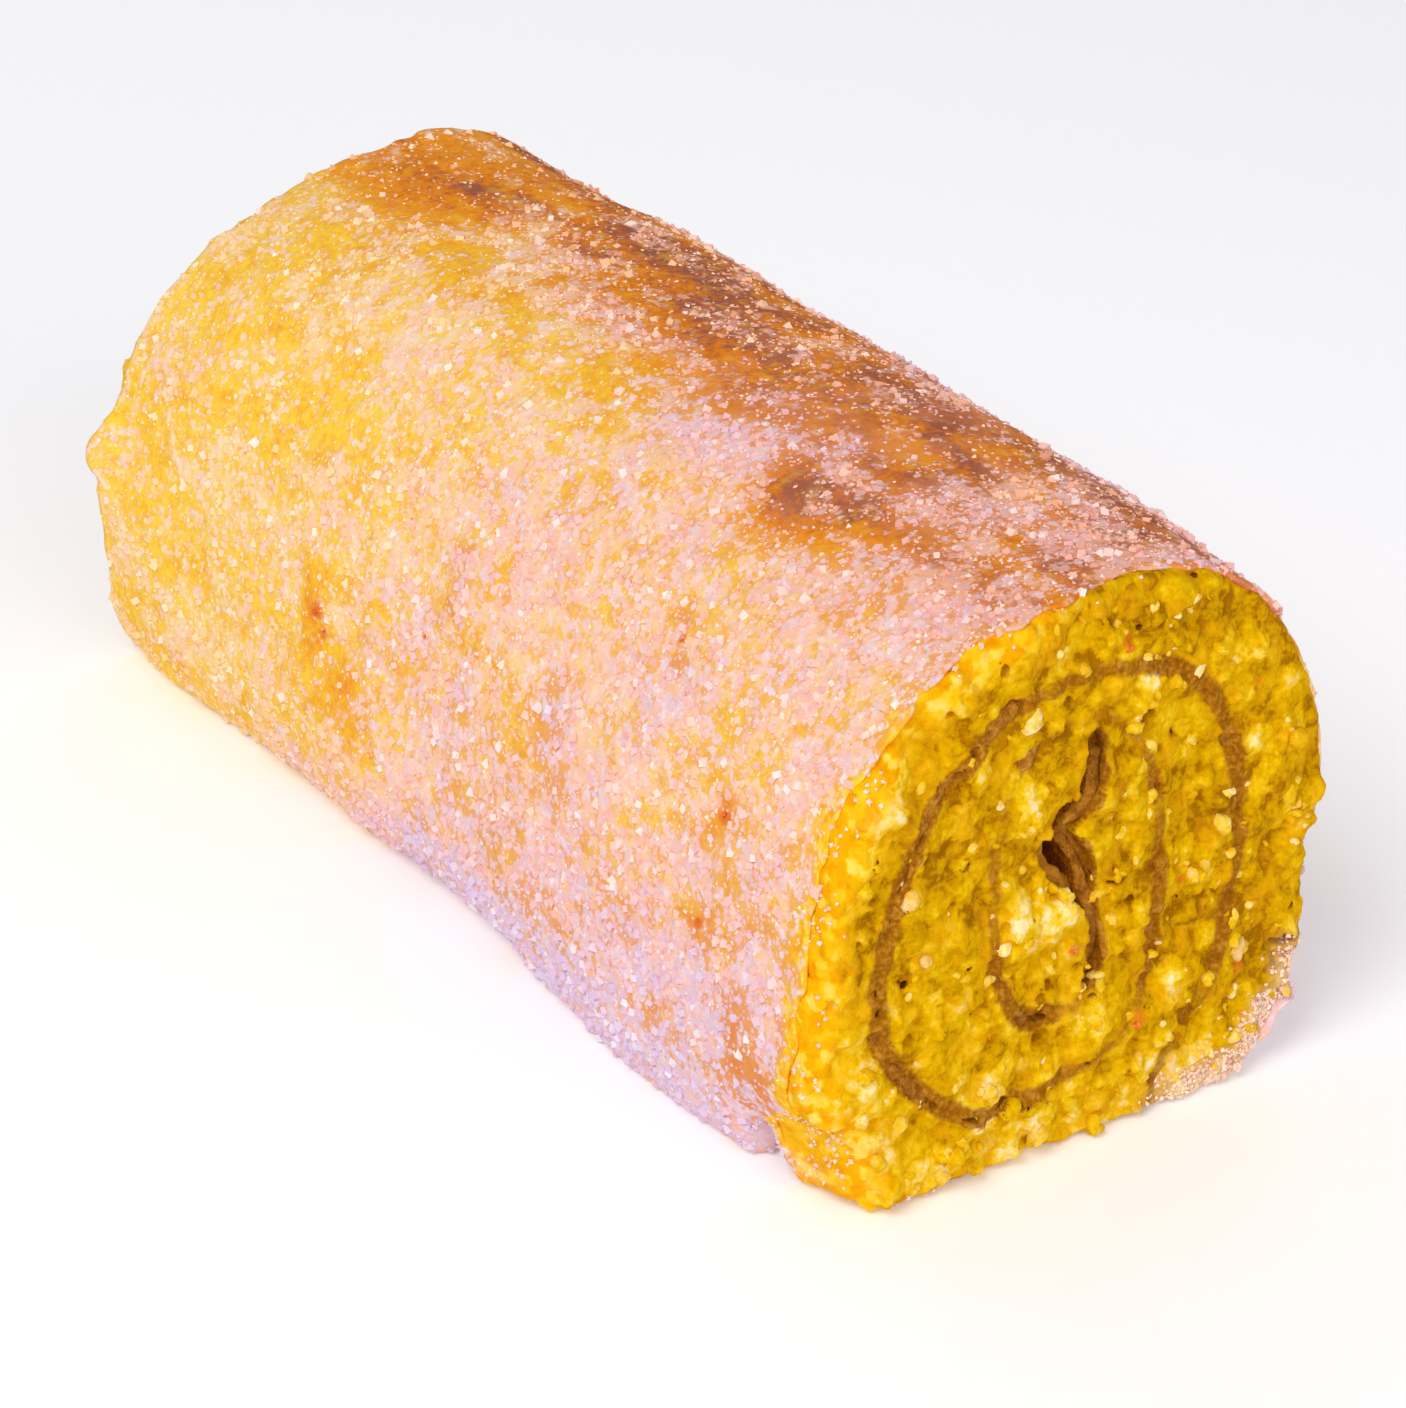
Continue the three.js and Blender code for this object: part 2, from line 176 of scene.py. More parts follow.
def noise(x, y, z, size):
    """Smooth noise from -1 to 1 whose bumps are about as wide as size."""
    scaled = [value / size for value in np.broadcast_arrays(x, y, z)]
    cells = [np.floor(value).astype(np.int64) for value in scaled]
    shares = [smoothstep(value - cell) for value, cell in zip(scaled, cells)]
    total = 0.0
    for corner in range(8):
        steps = (corner & 1, corner >> 1 & 1, corner >> 2)
        weight = 1.0
        for step, share in zip(steps, shares):
            weight = weight * (share if step else 1 - share)
        total = total + weight * lattice_value(*(cell + step for cell, step in zip(cells, steps)))
    return total


def layered(layers, x, y, z):
    return sum(height * noise(x, y, z, size) for size, height in layers)


def lattice_weights(values, size):
    """The first lattice plane of a row of coordinates, and each one's weight on the planes from there."""
    cells = np.floor(values / size).astype(int)
    share = smoothstep(values / size - cells)
    rows = np.arange(len(values))
    weights = np.zeros((len(values), cells.max() - cells.min() + 2))
    weights[rows, cells - cells.min()] = 1 - share
    weights[rows, cells - cells.min() + 1] = share
    return cells.min(), weights


def block_noise(axes, size):
    """The same noise on every cell of a block, from its three rows of coordinates."""
    parts = [lattice_weights(values, size) for values in axes]
    planes = [first + np.arange(weights.shape[1]) for first, weights in parts]
    corners = lattice_value(*np.meshgrid(*planes, indexing="ij"))
    return np.einsum("ia,jb,kc,abc->ijk", *(w for _, w in parts), corners, optimize=True)


def nearest_seed(points, size):
    """The distance from each point to the nearest of the scattered seeds, one for each cell of this
    size, and a value from 0 to 1 that belongs to that seed."""
    cells = np.floor(points / size).astype(np.int64)
    best = np.full(len(points), np.inf)
    owner = np.zeros(len(points))
    for corner in np.ndindex(3, 3, 3):
        cell = cells + np.array(corner) - 1
        i, j, k = cell.T
        places = [lattice_value(i + 57 * n, j - 31 * n, k + 13 * n) for n in (1, 2, 3)]
        seeds = (cell + 0.5 + 0.42 * np.stack(places, 1)) * size
        distance = np.linalg.norm(points - seeds, axis=1)
        closer = distance < best
        best = np.where(closer, distance, best)
        owner = np.where(closer, (lattice_value(i, j, k + 91) + 1) / 2, owner)
    return best, owner


def wrap_point(half_width, degrees):
    """Points of the wraps with these half widths, at these turning angles, as y and z."""
    angle = np.radians(degrees)
    cosine, sine = np.cos(angle), np.sin(angle)
    share = half_width / HALF_WIDTH
    squareness = lerp(BOTTOM_SQUARENESS, TOP_SQUARENESS, (1 + sine) / 2)
    power = 2 / lerp(2, squareness, np.minimum(share, 1) ** 2)
    across = np.sign(cosine) * np.abs(cosine) ** power
    upward = np.sign(sine) * np.abs(sine) ** power
    half_height = lerp(CORE_HALF_HEIGHT, HALF_HEIGHT, share**2)
    middle = lerp(CORE_MIDDLE_Z, SKIN_MIDDLE_Z, share**3)
    swell = (SHOULDER["cosine"] * np.cos(3 * angle) + SHOULDER["sine"] * np.sin(3 * angle)) * share**4
    spread = half_width * across * (1 + TOP_SPREAD * sine * share**2)
    y = SECTION_Y + spread + SIDE_LEAN * share * upward + swell * cosine
    return y, middle + half_height * upward + swell * sine


def evenly_spaced(rows, count):
    steps = np.linalg.norm(np.diff(rows, axis=0), axis=1)
    distances = np.concatenate([[0], np.cumsum(steps)])
    targets = np.linspace(0, distances[-1], count)
    return np.stack([np.interp(targets, distances, column) for column in rows.T], 1)


def skin_section(count):
    """The skin's section as y and z rows, flat on the table."""
    y, z = wrap_point(HALF_WIDTH, 360 * np.arange(CURVE_STEPS + 1) / CURVE_STEPS)
    return evenly_spaced(np.stack([y, np.maximum(z, 0)], 1), count + 1)[:count]


def placed(x, y, z):
    """Where points of the straight, square roll come to lie."""
    share = clamp01((np.abs(x) / REACH - 0.5) * 2)
    per_height = np.where(x > 0, NEAR_CUT["lean_per_height"], FAR_CUT["lean_per_height"])
    per_width = np.where(x > 0, NEAR_CUT["lean_per_width"], FAR_CUT["lean_per_width"])
    shift = share * (per_height * (z - CUT_MIDDLE_Z) + per_width * y)
    bow = BOW * (1 - (x / REACH) ** 2)
    return np.stack([x + shift + CENTRING["x"], y + bow + CENTRING["y"], z + 0 * x], -1)


def turning_angle(y, z):
    return np.degrees(np.arctan2(z - SKIN_MIDDLE_Z, y - SECTION_Y)) % 360


def straightened(points):
    """The place along the straight roll and the turning angle of placed points near the skin."""
    x, y, z = points.T
    x = x - CENTRING["x"]
    return x, turning_angle(y - CENTRING["y"] - BOW * (1 - (x / REACH) ** 2), z)


def skin_height(x, y, z):
    """How far the skin stands out from its smooth section."""
    angle = turning_angle(y, z)
    marks = 0.0
    for mark_x, mark_angle, along, around, height in MARKS:
        roundwards = np.radians(angle - mark_angle) * HALF_WIDTH
        marks = marks + height * fade(x - mark_x, along) * fade(roundwards, around)
    return layered(LUMPS, x, y, z) + marks


def lifted_skin(x, y, z, extra=0.0):
    """Points of the straight section moved out to the lumpy skin, plus extra."""
    outward = np.stack([y - SECTION_Y, z - SKIN_MIDDLE_Z], -1)
    outward = outward / np.linalg.norm(outward, axis=-1, keepdims=True)
    height = (skin_height(x, y, z) + np.maximum(extra, 0)) * smoothstep(z, 0, FLOOR_CLEAR)
    height = height + np.minimum(extra, 0)
    lifted = np.where(z > 0, z + outward[..., 1] * height, -np.minimum(extra, 0))
    return y + outward[..., 0] * height, np.maximum(lifted, 0)


def spiral_line(step):
    """The filling's middle line as rows of y, z, turning degrees and distance to its inner end."""
    knots = np.array(SPIRAL, float)
    spans = len(knots) - 1
    t = np.linspace(0, spans, CURVE_STEPS + 1)
    span = np.minimum(t.astype(int), spans - 1)
    t = (t - span)[:, None]
    before, start, end, after = (knots[np.clip(span + k, 0, spans)] for k in (-1, 0, 1, 2))
    leaving, arriving = (end - before) / 2, (after - start) / 2
    cubic = (2 * (start - end) + leaving + arriving) * t**3
    curve = cubic + (3 * (end - start) - 2 * leaving - arriving) * t**2 + leaving * t + start
    y, z = wrap_point(curve[:, 1], curve[:, 0])
    rows = np.stack([y, z, curve[:, 0]], 1)
    steps = np.linalg.norm(np.diff(rows[:, :2], axis=0), axis=1)
    length = steps.sum()
    distances = np.concatenate([[0], np.cumsum(steps)])
    targets = np.linspace(0, length, round(length / step) + 1)
    columns = [np.interp(targets, distances, column) for column in rows.T]
    return np.stack([*columns, length - targets], 1)


# Meshes

def make_piece(name, points, faces, material, attributes=None, smooth=True):
    """A mesh piece from points in mm and one or more arrays of faces, each with rows of one length."""
    mesh = bpy.data.meshes.new(name)
    rows = [np.asarray(part, np.int32) for part in faces if len(part)]
    lengths = np.concatenate([np.full(len(part), part.shape[1], np.int32) for part in rows])
    corners = np.concatenate([part.ravel() for part in rows])
    mesh.vertices.add(len(points))
    mesh.vertices.foreach_set("co", (np.asarray(points) * MM).astype(np.float32).ravel())
    mesh.loops.add(len(corners))
    mesh.loops.foreach_set("vertex_index", corners)
    mesh.polygons.add(len(lengths))
    mesh.polygons.foreach_set("loop_start", np.concatenate([[0], np.cumsum(lengths)[:-1]]).astype(np.int32))
    mesh.update(calc_edges=True)
    mesh.validate()
    if not smooth:
        mesh.shade_flat()
    for key, values in (attributes or {}).items():
        layer = mesh.attributes.new(key, "FLOAT", "POINT")
        layer.data.foreach_set("value", np.asarray(values, np.float32))
    mesh.materials.append(material)
    piece = bpy.data.objects.new(name, mesh)
    bpy.context.scene.collection.objects.link(piece)
    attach(piece, "root")
    return piece


def ring_faces(ring_count, size):
    """Quads between consecutive rings of the same size."""
    ring, i = np.meshgrid(np.arange(ring_count - 1), np.arange(size), indexing="ij")
    here = ring * size + i
    beside = ring * size + (i + 1) % size
    return np.stack([here, here + size, beside + size, beside], -1).reshape(-1, 4)


def fan_faces(ring_start, size, apex, flip):
    i = np.arange(size)
    here, beside = ring_start + i, ring_start + (i + 1) % size
    pair = (beside, here) if flip else (here, beside)
    return np.stack([np.full(size, apex), *pair], 1)


def closed_tube_faces(ring_count, size):
    """Faces of a closed tube: quads between its rings, and a fan at each end. The middle points of the
    two fans come after all the rings."""
    middle = ring_count * size
    fans = [fan_faces(0, size, middle, False), fan_faces(middle - size, size, middle + 1, True)]
    return [ring_faces(ring_count, size), np.concatenate(fans)]


def surface_net(field, step, origin):
    """The surface where a field on a block of cells passes zero, as points, quads facing the negative
    side, and the cell that each point lies in."""
    inside = field > 0
    unit = np.eye(3, dtype=int)
    corners = [np.array(corner) for corner in np.ndindex(2, 2, 2)]
    counts = np.zeros(np.array(field.shape) - 1, np.int8)
    for corner in corners:
        counts += inside[tuple(slice(c, n - 1 + c) for c, n in zip(corner, field.shape))]
    cells = np.argwhere((counts > 0) & (counts < 8))
    number = np.full(counts.shape, -1, np.int64)
    number[tuple(cells.T)] = np.arange(len(cells))
    sums = np.zeros((len(cells), 3))
    crossings = np.zeros(len(cells))
    for start in corners:
        for axis in range(3):
            if start[axis]:
                continue
            end = start + unit[axis]
            first, second = field[tuple((cells + start).T)], field[tuple((cells + end).T)]
            crosses = (first > 0) != (second > 0)
            share = np.where(crosses, first / np.where(crosses, first - second, 1), 0)
            sums += np.where(crosses[:, None], start + share[:, None] * (end - start), 0)
            crossings += crosses
    points = origin + (cells + sums / crossings[:, None]) * step
    quads = []
    for axis in range(3):
        one = unit[axis]
        sizes = list(zip(one, field.shape))
        lower = inside[tuple(slice(0, n - 1) if along else slice(1, n - 1) for along, n in sizes)]
        upper = inside[tuple(slice(1, n) if along else slice(1, n - 1) for along, n in sizes)]
        edges = np.argwhere(lower != upper) + 1 - one
        leaving = lower[tuple((edges - 1 + one).T)]
        u, v = unit[(axis + 1) % 3], unit[(axis + 2) % 3]
        around = [number[tuple((edges - shift).T)] for shift in (0 * u, u, u + v, v)]
        quad = np.stack(around, 1)
        quads.append(np.where(leaving[:, None], quad, quad[:, ::-1]))
    return points, np.concatenate(quads), cells


def reached_from(mask, seed_mask):
    """The part of a mask that is joined to its seeds through faces of cells."""
    reached = mask & seed_mask
    while True:
        before = reached.sum()
        for axis in range(3):
            for direction in (1, -1):
                view = np.moveaxis(reached, axis, 0)[::direction]
                free = np.moveaxis(mask, axis, 0)[::direction]
                for i in range(1, len(view)):
                    view[i] |= view[i - 1] & free[i]
        if reached.sum() == before:
            return reached


# Skin

def seam_y(line):
    """Where the seam's mouth meets the table."""
    rising = line[:SEAM_ROWS]
    return np.interp(0, rising[:, 1], rising[:, 0])


def band(angle, middle, half_width):
    """1 in the middle of a band of turning angles, falling to 0 past its half width."""
    away = np.abs((angle - middle + 180) % 360 - 180)
    return 1 - smoothstep(away, half_width * 0.5, half_width)


def torn_back(side, angle):
    """How much further the skin ends short of this cut, against the turning angle."""
    if side < 0:
        return 0 * angle
    return sum(length * band(angle, middle, half_width) for middle, half_width, length in TORN_BACK)


def skin_edge(side, y, z):
    """How far along X the skin reaches at one cut, before it is placed."""
    _, py, pz = placed(np.full(len(y), side * REACH), *lifted_skin(side * REACH, y, z)).T
    size, height = RIM_RAGGEDNESS
    rag = height * noise(py, pz, side * ROLL_LENGTH, size)
    back = LIP["short_of_cut"] + layered(LIP["ragged"], py + 40, pz, side * 7)
    back = back + LIP["short_below"] * (1 - smoothstep(z, *LIP["below"]))
    back = back + torn_back(side, turning_angle(y, z)) * (1 + 0.3 * noise(py, pz, side * 9, 5.5))
    return side * (REACH + side * rag - np.maximum(back, 0.15))


def skin_rings(line):
    """All rings of the skin from one cap to the other, how many of them are the first cap and the outer
    skin, and how far each point lies behind the near end of the skin."""
    outline = skin_section(SECTION_POINTS["to_measure"])
    count = round(np.linalg.norm(np.diff(outline, axis=0), axis=1).sum() / SKIN_GRID)
    y, z = skin_section(count).T
    far, near = skin_edge(-1, y, z), skin_edge(1, y, z)
    stations = round(ROLL_LENGTH / SKIN_GRID)
    groove = SEAM_GROOVE["depth"] * fade(y - seam_y(line), SEAM_GROOVE["half_width"]) * (z < 1)

    def ring(x, inset):
        fine = layered(FINE_SKIN, x, y, z) if inset == 0 else -inset
        ring_y, ring_z = lifted_skin(x, y, z, fine)
        return placed(x, ring_y, ring_z + groove)

    def cap(side, edge):
        rings = [ring(edge + side * forward, inset) for forward, inset in LIP_ROWS]
        rings.append(ring(edge - side * INNER_WALL["behind_edge"], INNER_WALL["inset"]))
        x = np.full(count, side * (REACH - DISH["depth"]))
        dish_y = lerp(SECTION_Y, y, DISH["shrink"])
        rings.append(placed(x, dish_y, lerp(CORE_MIDDLE_Z, z, DISH["shrink"])))
        return rings

    outer = [ring(lerp(far, near, i / stations), 0) for i in range(stations + 1)]
    far_cap, near_cap = cap(-1, far), cap(1, near)
    rings = [*far_cap[::-1], *outer, *near_cap]
    share = np.linspace(1, 0, stations + 1)[:, None]
    far_away, at_edge = np.full((len(far_cap), count), 99), np.zeros((len(near_cap), count))
    to_near = np.concatenate([far_away, share * (near - far), at_edge])
    return np.array(rings), len(far_cap), stations + 1, to_near


def middle_point(side, depth):
    x = np.array([side * (REACH - depth)])
    return placed(x, np.array([SECTION_Y]), np.array([float(CORE_MIDDLE_Z)]))


def grid_normals(grid):
    """Unit normals of a grid of points whose second axis closes on itself."""
    along = np.gradient(grid, axis=0)
    around = np.roll(grid, -1, 1) - np.roll(grid, 1, 1)
    normals = np.cross(around, along)
    return -normals / np.linalg.norm(normals, axis=-1, keepdims=True)


# Where the skin is browner or yellower: x, turning angle, reach along and round, amount
TONE_PATCHES = [
    (-78, 86, 16, 10, 0.2), (-40, 68, 22, 7, 0.25), (-16, 66, 14, 8, 0.3), (54, 104, 12, 7, 0.25),
    (40, 78, 30, 7, 0.2), (60, 62, 26, 6, 0.25), (8, 96, 24, 9, 0.1), (-33, 181, 3, 5, 0.3),
    (75, 161, 3, 3.5, 0.35), (73, 184, 9, 4, 0.2), (88, 203, 9, 8, 0.35), (80, 84, 14, 6, 0.15),
    (72, 222, 22, 5, 0.12), (35, 70, 34, 7, 0.2), (55, 106, 9, 5, 0.35), (-72, 99, 12, 6, 0.2),
    (-33, 104, 10, 6, 0.15), (-43, 67, 11, 5, 0.25), (85, 69, 10, 6, 0.2), (70, 121, 8, 4, 0.2),
    (62, 203, 12, 6, 0.1), (-60, 110, 20, 10, 0.1), (45, 112, 8, 4, 0.2), (-24, 194, 7, 4, 0.15),
    (53, 143, 7, 5, 0.1), (62, 104, 30, 14, 0.1), (20, 88, 16, 9, 0.06), (86, 113, 10, 8, 0.18),
    (42, 96, 12, 8, 0.1), (97, 335, 8, 24, -0.5),
]

# Where sugar lies thicker or thinner than around
SUGAR_PATCHES = [
    (28, 107, 10, 5, 0.6), (84, 117, 9, 6, 0.1), (70, 121, 7, 4, -0.35), (7, 149, 8, 6, 0.3),
    (-43, 67, 10, 5, -0.25), (1, 110, 9, 5, -0.4), (-50, 104, 8, 5, -0.25), (38, 78, 7, 4, 0.2),
    (51, 132, 9, 5, -0.15), (-33, 126, 14, 5, 0.25), (75, 92, 14, 5, 0.3), (74, 76, 16, 5, 0.3),
    (-85, 170, 26, 50, -0.05), (20, 150, 26, 16, -0.05), (-33, 181, 4, 6, -0.4), (75, 161, 4, 5, -0.5),
    (-78, 86, 18, 9, -0.4), (10, 84, 30, 6, -0.2), (50, 84, 16, 6, -0.2), (88, 203, 9, 7, -0.4),
    (90, 66, 8, 6, 0.5), (52, 71, 12, 6, -0.3), (33, 72, 9, 6, -0.3), (55, 105, 8, 4, -0.6),
    (62, 203, 10, 6, 0.15), (49, 94, 9, 4, 0.4), (-5, 93, 9, 4, 0.6), (-21, 95, 9, 5, 0.3),
    (-38, 87, 8, 4, 0.35), (87, 106, 8, 6, 0.2), (-68, 98, 16, 6, -0.2), (-33, 107, 9, 5, -0.3),
    (73, 184, 8, 5, -0.35), (-24, 194, 9, 5, -0.35), (-75, 134, 12, 8, -0.25), (53, 143, 6, 5, -0.2),
    (45, 113, 7, 4, -0.3), (-59, 108, 10, 5, 0.3), (-26, 98, 10, 4, 0.3), (62, 104, 30, 14, -0.09),
    (20, 88, 16, 9, -0.06), (10, 108, 8, 5, -0.2), (97, 335, 8, 24, 0.6),
]


def patches(rows, x, angle):
    total = 0.0
    for patch_x, patch_angle, along, around, amount in rows:
        roundwards = np.radians((angle - patch_angle + 180) % 360 - 180) * HALF_WIDTH
        total = total + amount * fade(x - patch_x, along) * fade(roundwards, around)
    return total


# Bands of the skin, as turning angle and half width: browned in the oven, at the far and the near end, a
# strip of painted shade along the top back edge, the two edges where sugar gathers and a painted cool rim
# reflection lies, and the side where the near rim is bared
TOASTED_FAR, TOASTED_NEAR = (66, 36), (72, 46)
BACK_EDGE_SHADE = (46, 16)
FRONT_EDGE, BACK_EDGE = (219, 16), (47, 12)
BARED_SIDE = (180, 70)
NEARING = (-70, 45)  # along this stretch of x the skin changes from its far looks to its near ones


def skin_looks(points, to_near):
    """Colour, sugar, coolness and the yellow of bared crumb on the skin, each from 0 to 1.

    to_near is how far each point lies behind the near end of the skin."""
    x, y, z = points.T
    y = y - CENTRING["y"] - BOW * (1 - ((x - CENTRING["x"]) / REACH) ** 2)
    angle = turning_angle(y, z)
    broad = noise(x, y, z, 19) * 0.5 + noise(x + 50, y, z, 8) * 0.5
    near = smoothstep(x, *NEARING)
    toasted = band(angle, *(lerp(far, close, near) for far, close in zip(TOASTED_FAR, TOASTED_NEAR)))
    streaks = noise(x / 2.5, y, z, 4) + noise(x / 2.5 + 50, y, z, 9)
    past_middle = smoothstep(x, -60, 20)
    edges = band(angle, *FRONT_EDGE) * past_middle + 0.6 * band(angle, *BACK_EDGE)
    place = x + 3.5 * noise(x, y, z + 40, 7), angle + 3 * noise(x, y + 90, z, 7)
    tone = 0.1 + 0.46 * toasted + 0.12 * near + (0.06 + 0.16 * toasted) * streaks
    # Painted shade: the tone is raised along the top back edge, darkening the skin there
    tone = tone + 0.3 * band(angle, *BACK_EDGE_SHADE) + patches(TONE_PATCHES, *place)
    drifts = 0.7 * noise(x, y + 30, z, 11) + noise(x / 1.8, y, z - 60, 5) + noise(x / 1.6, y + 80, z, 2.8)
    heaps = patches(SUGAR_PATCHES, *place) * (1 + 0.9 * noise(x, y - 80, z, 3.4))
    sugar = 0.42 + 0.18 * near - 0.27 * toasted + 0.25 * edges + (0.24 + 0.1 * toasted) * drifts + heaps
    # Painted cool shade low down on the flank and a painted cool rim reflection along the edge bands: both
    # raise the coolness, which tints the sugar lavender; the edge bands also carry more sugar
    low = smoothstep(z, 50, 8) * past_middle
    cool = 0.1 + 0.42 * near + 0.35 * low + 0.4 * edges + 0.25 * broad + 0.2 * noise(x, y + 70, z, 5)
    cool = cool + 0.35 * np.maximum(heaps, 0)
    ragged = 1.8 * noise(x, y, z, 2.4) + 1.6 * noise(x, y, z, 5)
    bared = band(angle, *BARED_SIDE) * fade(np.maximum(to_near + ragged, 0), 2.6)
    sugar = sugar - 0.45 * bared
    return [clamp01(value) for value in (tone, sugar, cool, bared)]


def make_skin(line, material):
    rings, cap_rings, outer_rings, to_near = skin_rings(line)
    total, count = rings.shape[:2]
    caps = [middle_point(side, DISH["middle_depth"]) for side in (-1, 1)]
    points = np.concatenate([rings.reshape(-1, 3), *caps])
    faces = [part[:, ::-1] for part in closed_tube_faces(total, count)]
    tone, sugar, cool, bared = skin_looks(points, np.append(to_near.ravel(), [0, 0]))
    zest = zest_on_skin(points)
    looks = {"tone": tone, "sugar": sugar, "cool": cool, "bared": bared, "zest": zest}
    piece = make_piece("roll_skin", points, faces, material, looks)
    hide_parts("sponge")
    grid = rings[cap_rings:cap_rings + outer_rings]
    looks = [value[:total * count].reshape(total, count)[cap_rings:cap_rings + outer_rings]
             for value in (tone, sugar, cool)]
    return grid, looks


# Crumb

# How the filling shows at the near cut, against its turning degrees: how brown the crumb beside it is,
# how far the slot is open, and half the width of the brown band
LINE_LOOKS = [
    (-78, 0.8, 0.7, 1.8), (-64, 0.5, 0.3, 2.0), (-45, 0.5, 0.05, 2.2), (-32, 0.7, 0.1, 2.6),
    (-20, 0.85, 0.15, 2.7), (-8, 0.7, 0.1, 2.4), (4, 0.85, 0.2, 2.6), (16, 0.85, 0.3, 2.6),
    (26, 0.7, 0.1, 2.3), (40, 0.95, 0.4, 2.3), (62, 0.95, 0.4, 2.4), (74, 0.8, 0.2, 2.3),
    (86, 0.6, 0.0, 2.0), (100, 0.65, 0.1, 1.9), (112, 0.9, 0.5, 2.1), (122, 0.9, 0.6, 2.1),
    (150, 1.0, 0.65, 2.3), (172, 1.0, 0.65, 2.5), (185, 0.9, 0.45, 2.7), (200, 0.95, 0.55, 2.6),
    (215, 1.0, 0.65, 2.7), (232, 0.9, 0.45, 2.5), (250, 0.9, 0.45, 2.4), (262, 0.8, 0.3, 2.3),
    (275, 0.6, 0.0, 2.1), (300, 0.4, 0.0, 2.0), (316, 0.8, 0.3, 2.1), (328, 0.95, 0.55, 2.2),
    (342, 0.85, 0.3, 2.4), (352, 0.9, 0.45, 2.2), (366, 0.6, 0.1, 2.0), (384, 0.7, 0.1, 1.8),
    (396, 0.5, 0.0, 1.7), (425, 0.45, 0.0, 1.7), (450, 0.35, 0.0, 1.6), (480, 0.4, 0.0, 1.6),
    (500, 0.3, 0.0, 1.6), (522, 0.6, 0.1, 1.6), (545, 0.45, 0.0, 1.7), (565, 0.85, 0.25, 1.9),
    (585, 0.95, 0.5, 2.0), (600, 1.0, 0.6, 2.4), (612, 0.85, 0.2, 2.0), (628, 0.4, 0.0, 1.5),
    (650, 0.5, 0.1, 1.6), (664, 0.9, 0.6, 1.8), (690, 0.9, 0.6, 2.0), (712, 1.0, 1.0, 2.0),
    (788, 1.0, 1.0, 2.3),
]
FAR_LINE_SHIFT = 40  # the far cut shows the same line at other places


def line_looks(degrees, side):
    """How brown, how open and how wide the filling's band is at this cut, against its turning degrees."""
    knots = np.array(LINE_LOOKS, float).T
    if side > 0:
        return [np.interp(degrees, knots[0], values) for values in knots[1:]]
    brown, opened, width = (np.interp(degrees + FAR_LINE_SHIFT, knots[0], values) for values in knots[1:])
    return [lerp(0.8, brown, 0.5), lerp(0.6, opened, 0.5), width]


def core_gape(side, from_end):
    """How far the torn core gapes on each side of the filling at this cut."""
    return sum(pocket["widening"] * fade(from_end - pocket["from_end"], pocket["reach"])
               for pocket in CORE_POCKETS if pocket["side"] == side)


def nearest_on_line(ys, zs, line):
    """For each y and z, the distance to the filling's line and the row of it that is nearest."""
    distance = np.zeros((len(ys), len(zs)))
    row = np.zeros((len(ys), len(zs)), int)
    for i, y in enumerate(ys):
        apart = (line[:, 0] - y) ** 2 + (zs[:, None] - line[:, 1]) ** 2
        row[i] = apart.argmin(1)
        distance[i] = np.sqrt(apart.min(1))
    return distance, row


def skin_distance(side, depths, ys, zs):
    """How far inside the lumpy skin each cell of the block lies."""
    y, z = skin_section(SECTION_POINTS["to_compare"]).T
    away_y, away_z = ys[:, None] - SECTION_Y, zs[None, :] - BLOCK_MIDDLE_Z
    radius, angle = np.hypot(away_y, away_z), np.arctan2(away_z, away_y)
    layers = []
    for depth in depths:
        ring_y, ring_z = lifted_skin(side * (REACH - max(depth, 0)), y, z)
        ring_angle = np.arctan2(ring_z - BLOCK_MIDDLE_Z, ring_y - SECTION_Y)
        ring_radius = np.hypot(ring_z - BLOCK_MIDDLE_Z, ring_y - SECTION_Y)
        order = np.argsort(ring_angle)
        skin = np.interp(angle, ring_angle[order], ring_radius[order], period=2 * math.pi)
        layers.append((skin - radius) * RADIAL_TO_SHORTEST)
    return np.array(layers)


def slot_half_width(side, depths, rows, line, ys, zs):
    """Half the width of the slot that the filling lies in, with its torn pockets and its mouth."""
    from_end = line[rows, 3]
    inward = np.maximum(depths, 0)[:, None, None]
    closing = smoothstep(line[rows, 1], SEAM_MOUTH["fully_open"], SEAM_MOUTH["top"])
    mouth = SEAM_MOUTH["widening"] * (1 - closing)
    opened = line_looks(line[rows, 2], side)[1]
    half = lerp(-0.9, FILLING_THICKNESS / 2 + 0.05, opened) + mouth
    half = half - (FILLING_THICKNESS + mouth) * smoothstep(inward, *SLOT_DEPTH)
    for pocket in CORE_POCKETS:
        if pocket["side"] == side:
            along = fade(from_end - pocket["from_end"], pocket["reach"])
            half = half + (pocket["widening"] + 0.3) * along * fade(inward, pocket["depth"])
    ragged = 0.55 * block_noise((side * REACH + depths, ys, zs), 2.6)
    return half + ragged + 0.3 * block_noise((side * REACH + depths, ys, zs), 1.3)


def hole_distance(side, depths, ys, zs):
    """How far outside the nearest small hole each cell lies."""
    distance = np.full((len(depths), len(ys), len(zs)), 9.0)
    ragged = 0.35 * block_noise((depths, ys, zs), 1.8)
    for y, z, half_width, half_height, depth in HOLES if side > 0 else []:
        away = np.hypot((ys[:, None] - y) / half_width, (zs[None, :] - z) / half_height)
        away = np.hypot(away[None], np.maximum(depths, 0)[:, None, None] / depth) + ragged
        distance = np.minimum(distance, (away - 1) * min(half_width, half_height))
    return distance


def clump_share(side, ys, zs):
    """Where clumps of paler crumb stand out of a cut, from 0 to 1."""
    y, z = ys[:, None], zs[None, :]
    share = smoothstep(noise(y, z, side * 12.0, 6.5) + 0.4 * noise(y, z, side * 30.0, 2.8), 0.35, 0.8) * 0.7
    for clump_y, clump_z, reach in CLUMPS if side > 0 else []:
        share = share + fade(np.hypot(y - clump_y, z - clump_z), reach)
    return clamp01(share * (1 + 0.5 * noise(y, z, side * 5.0, 2.2)))


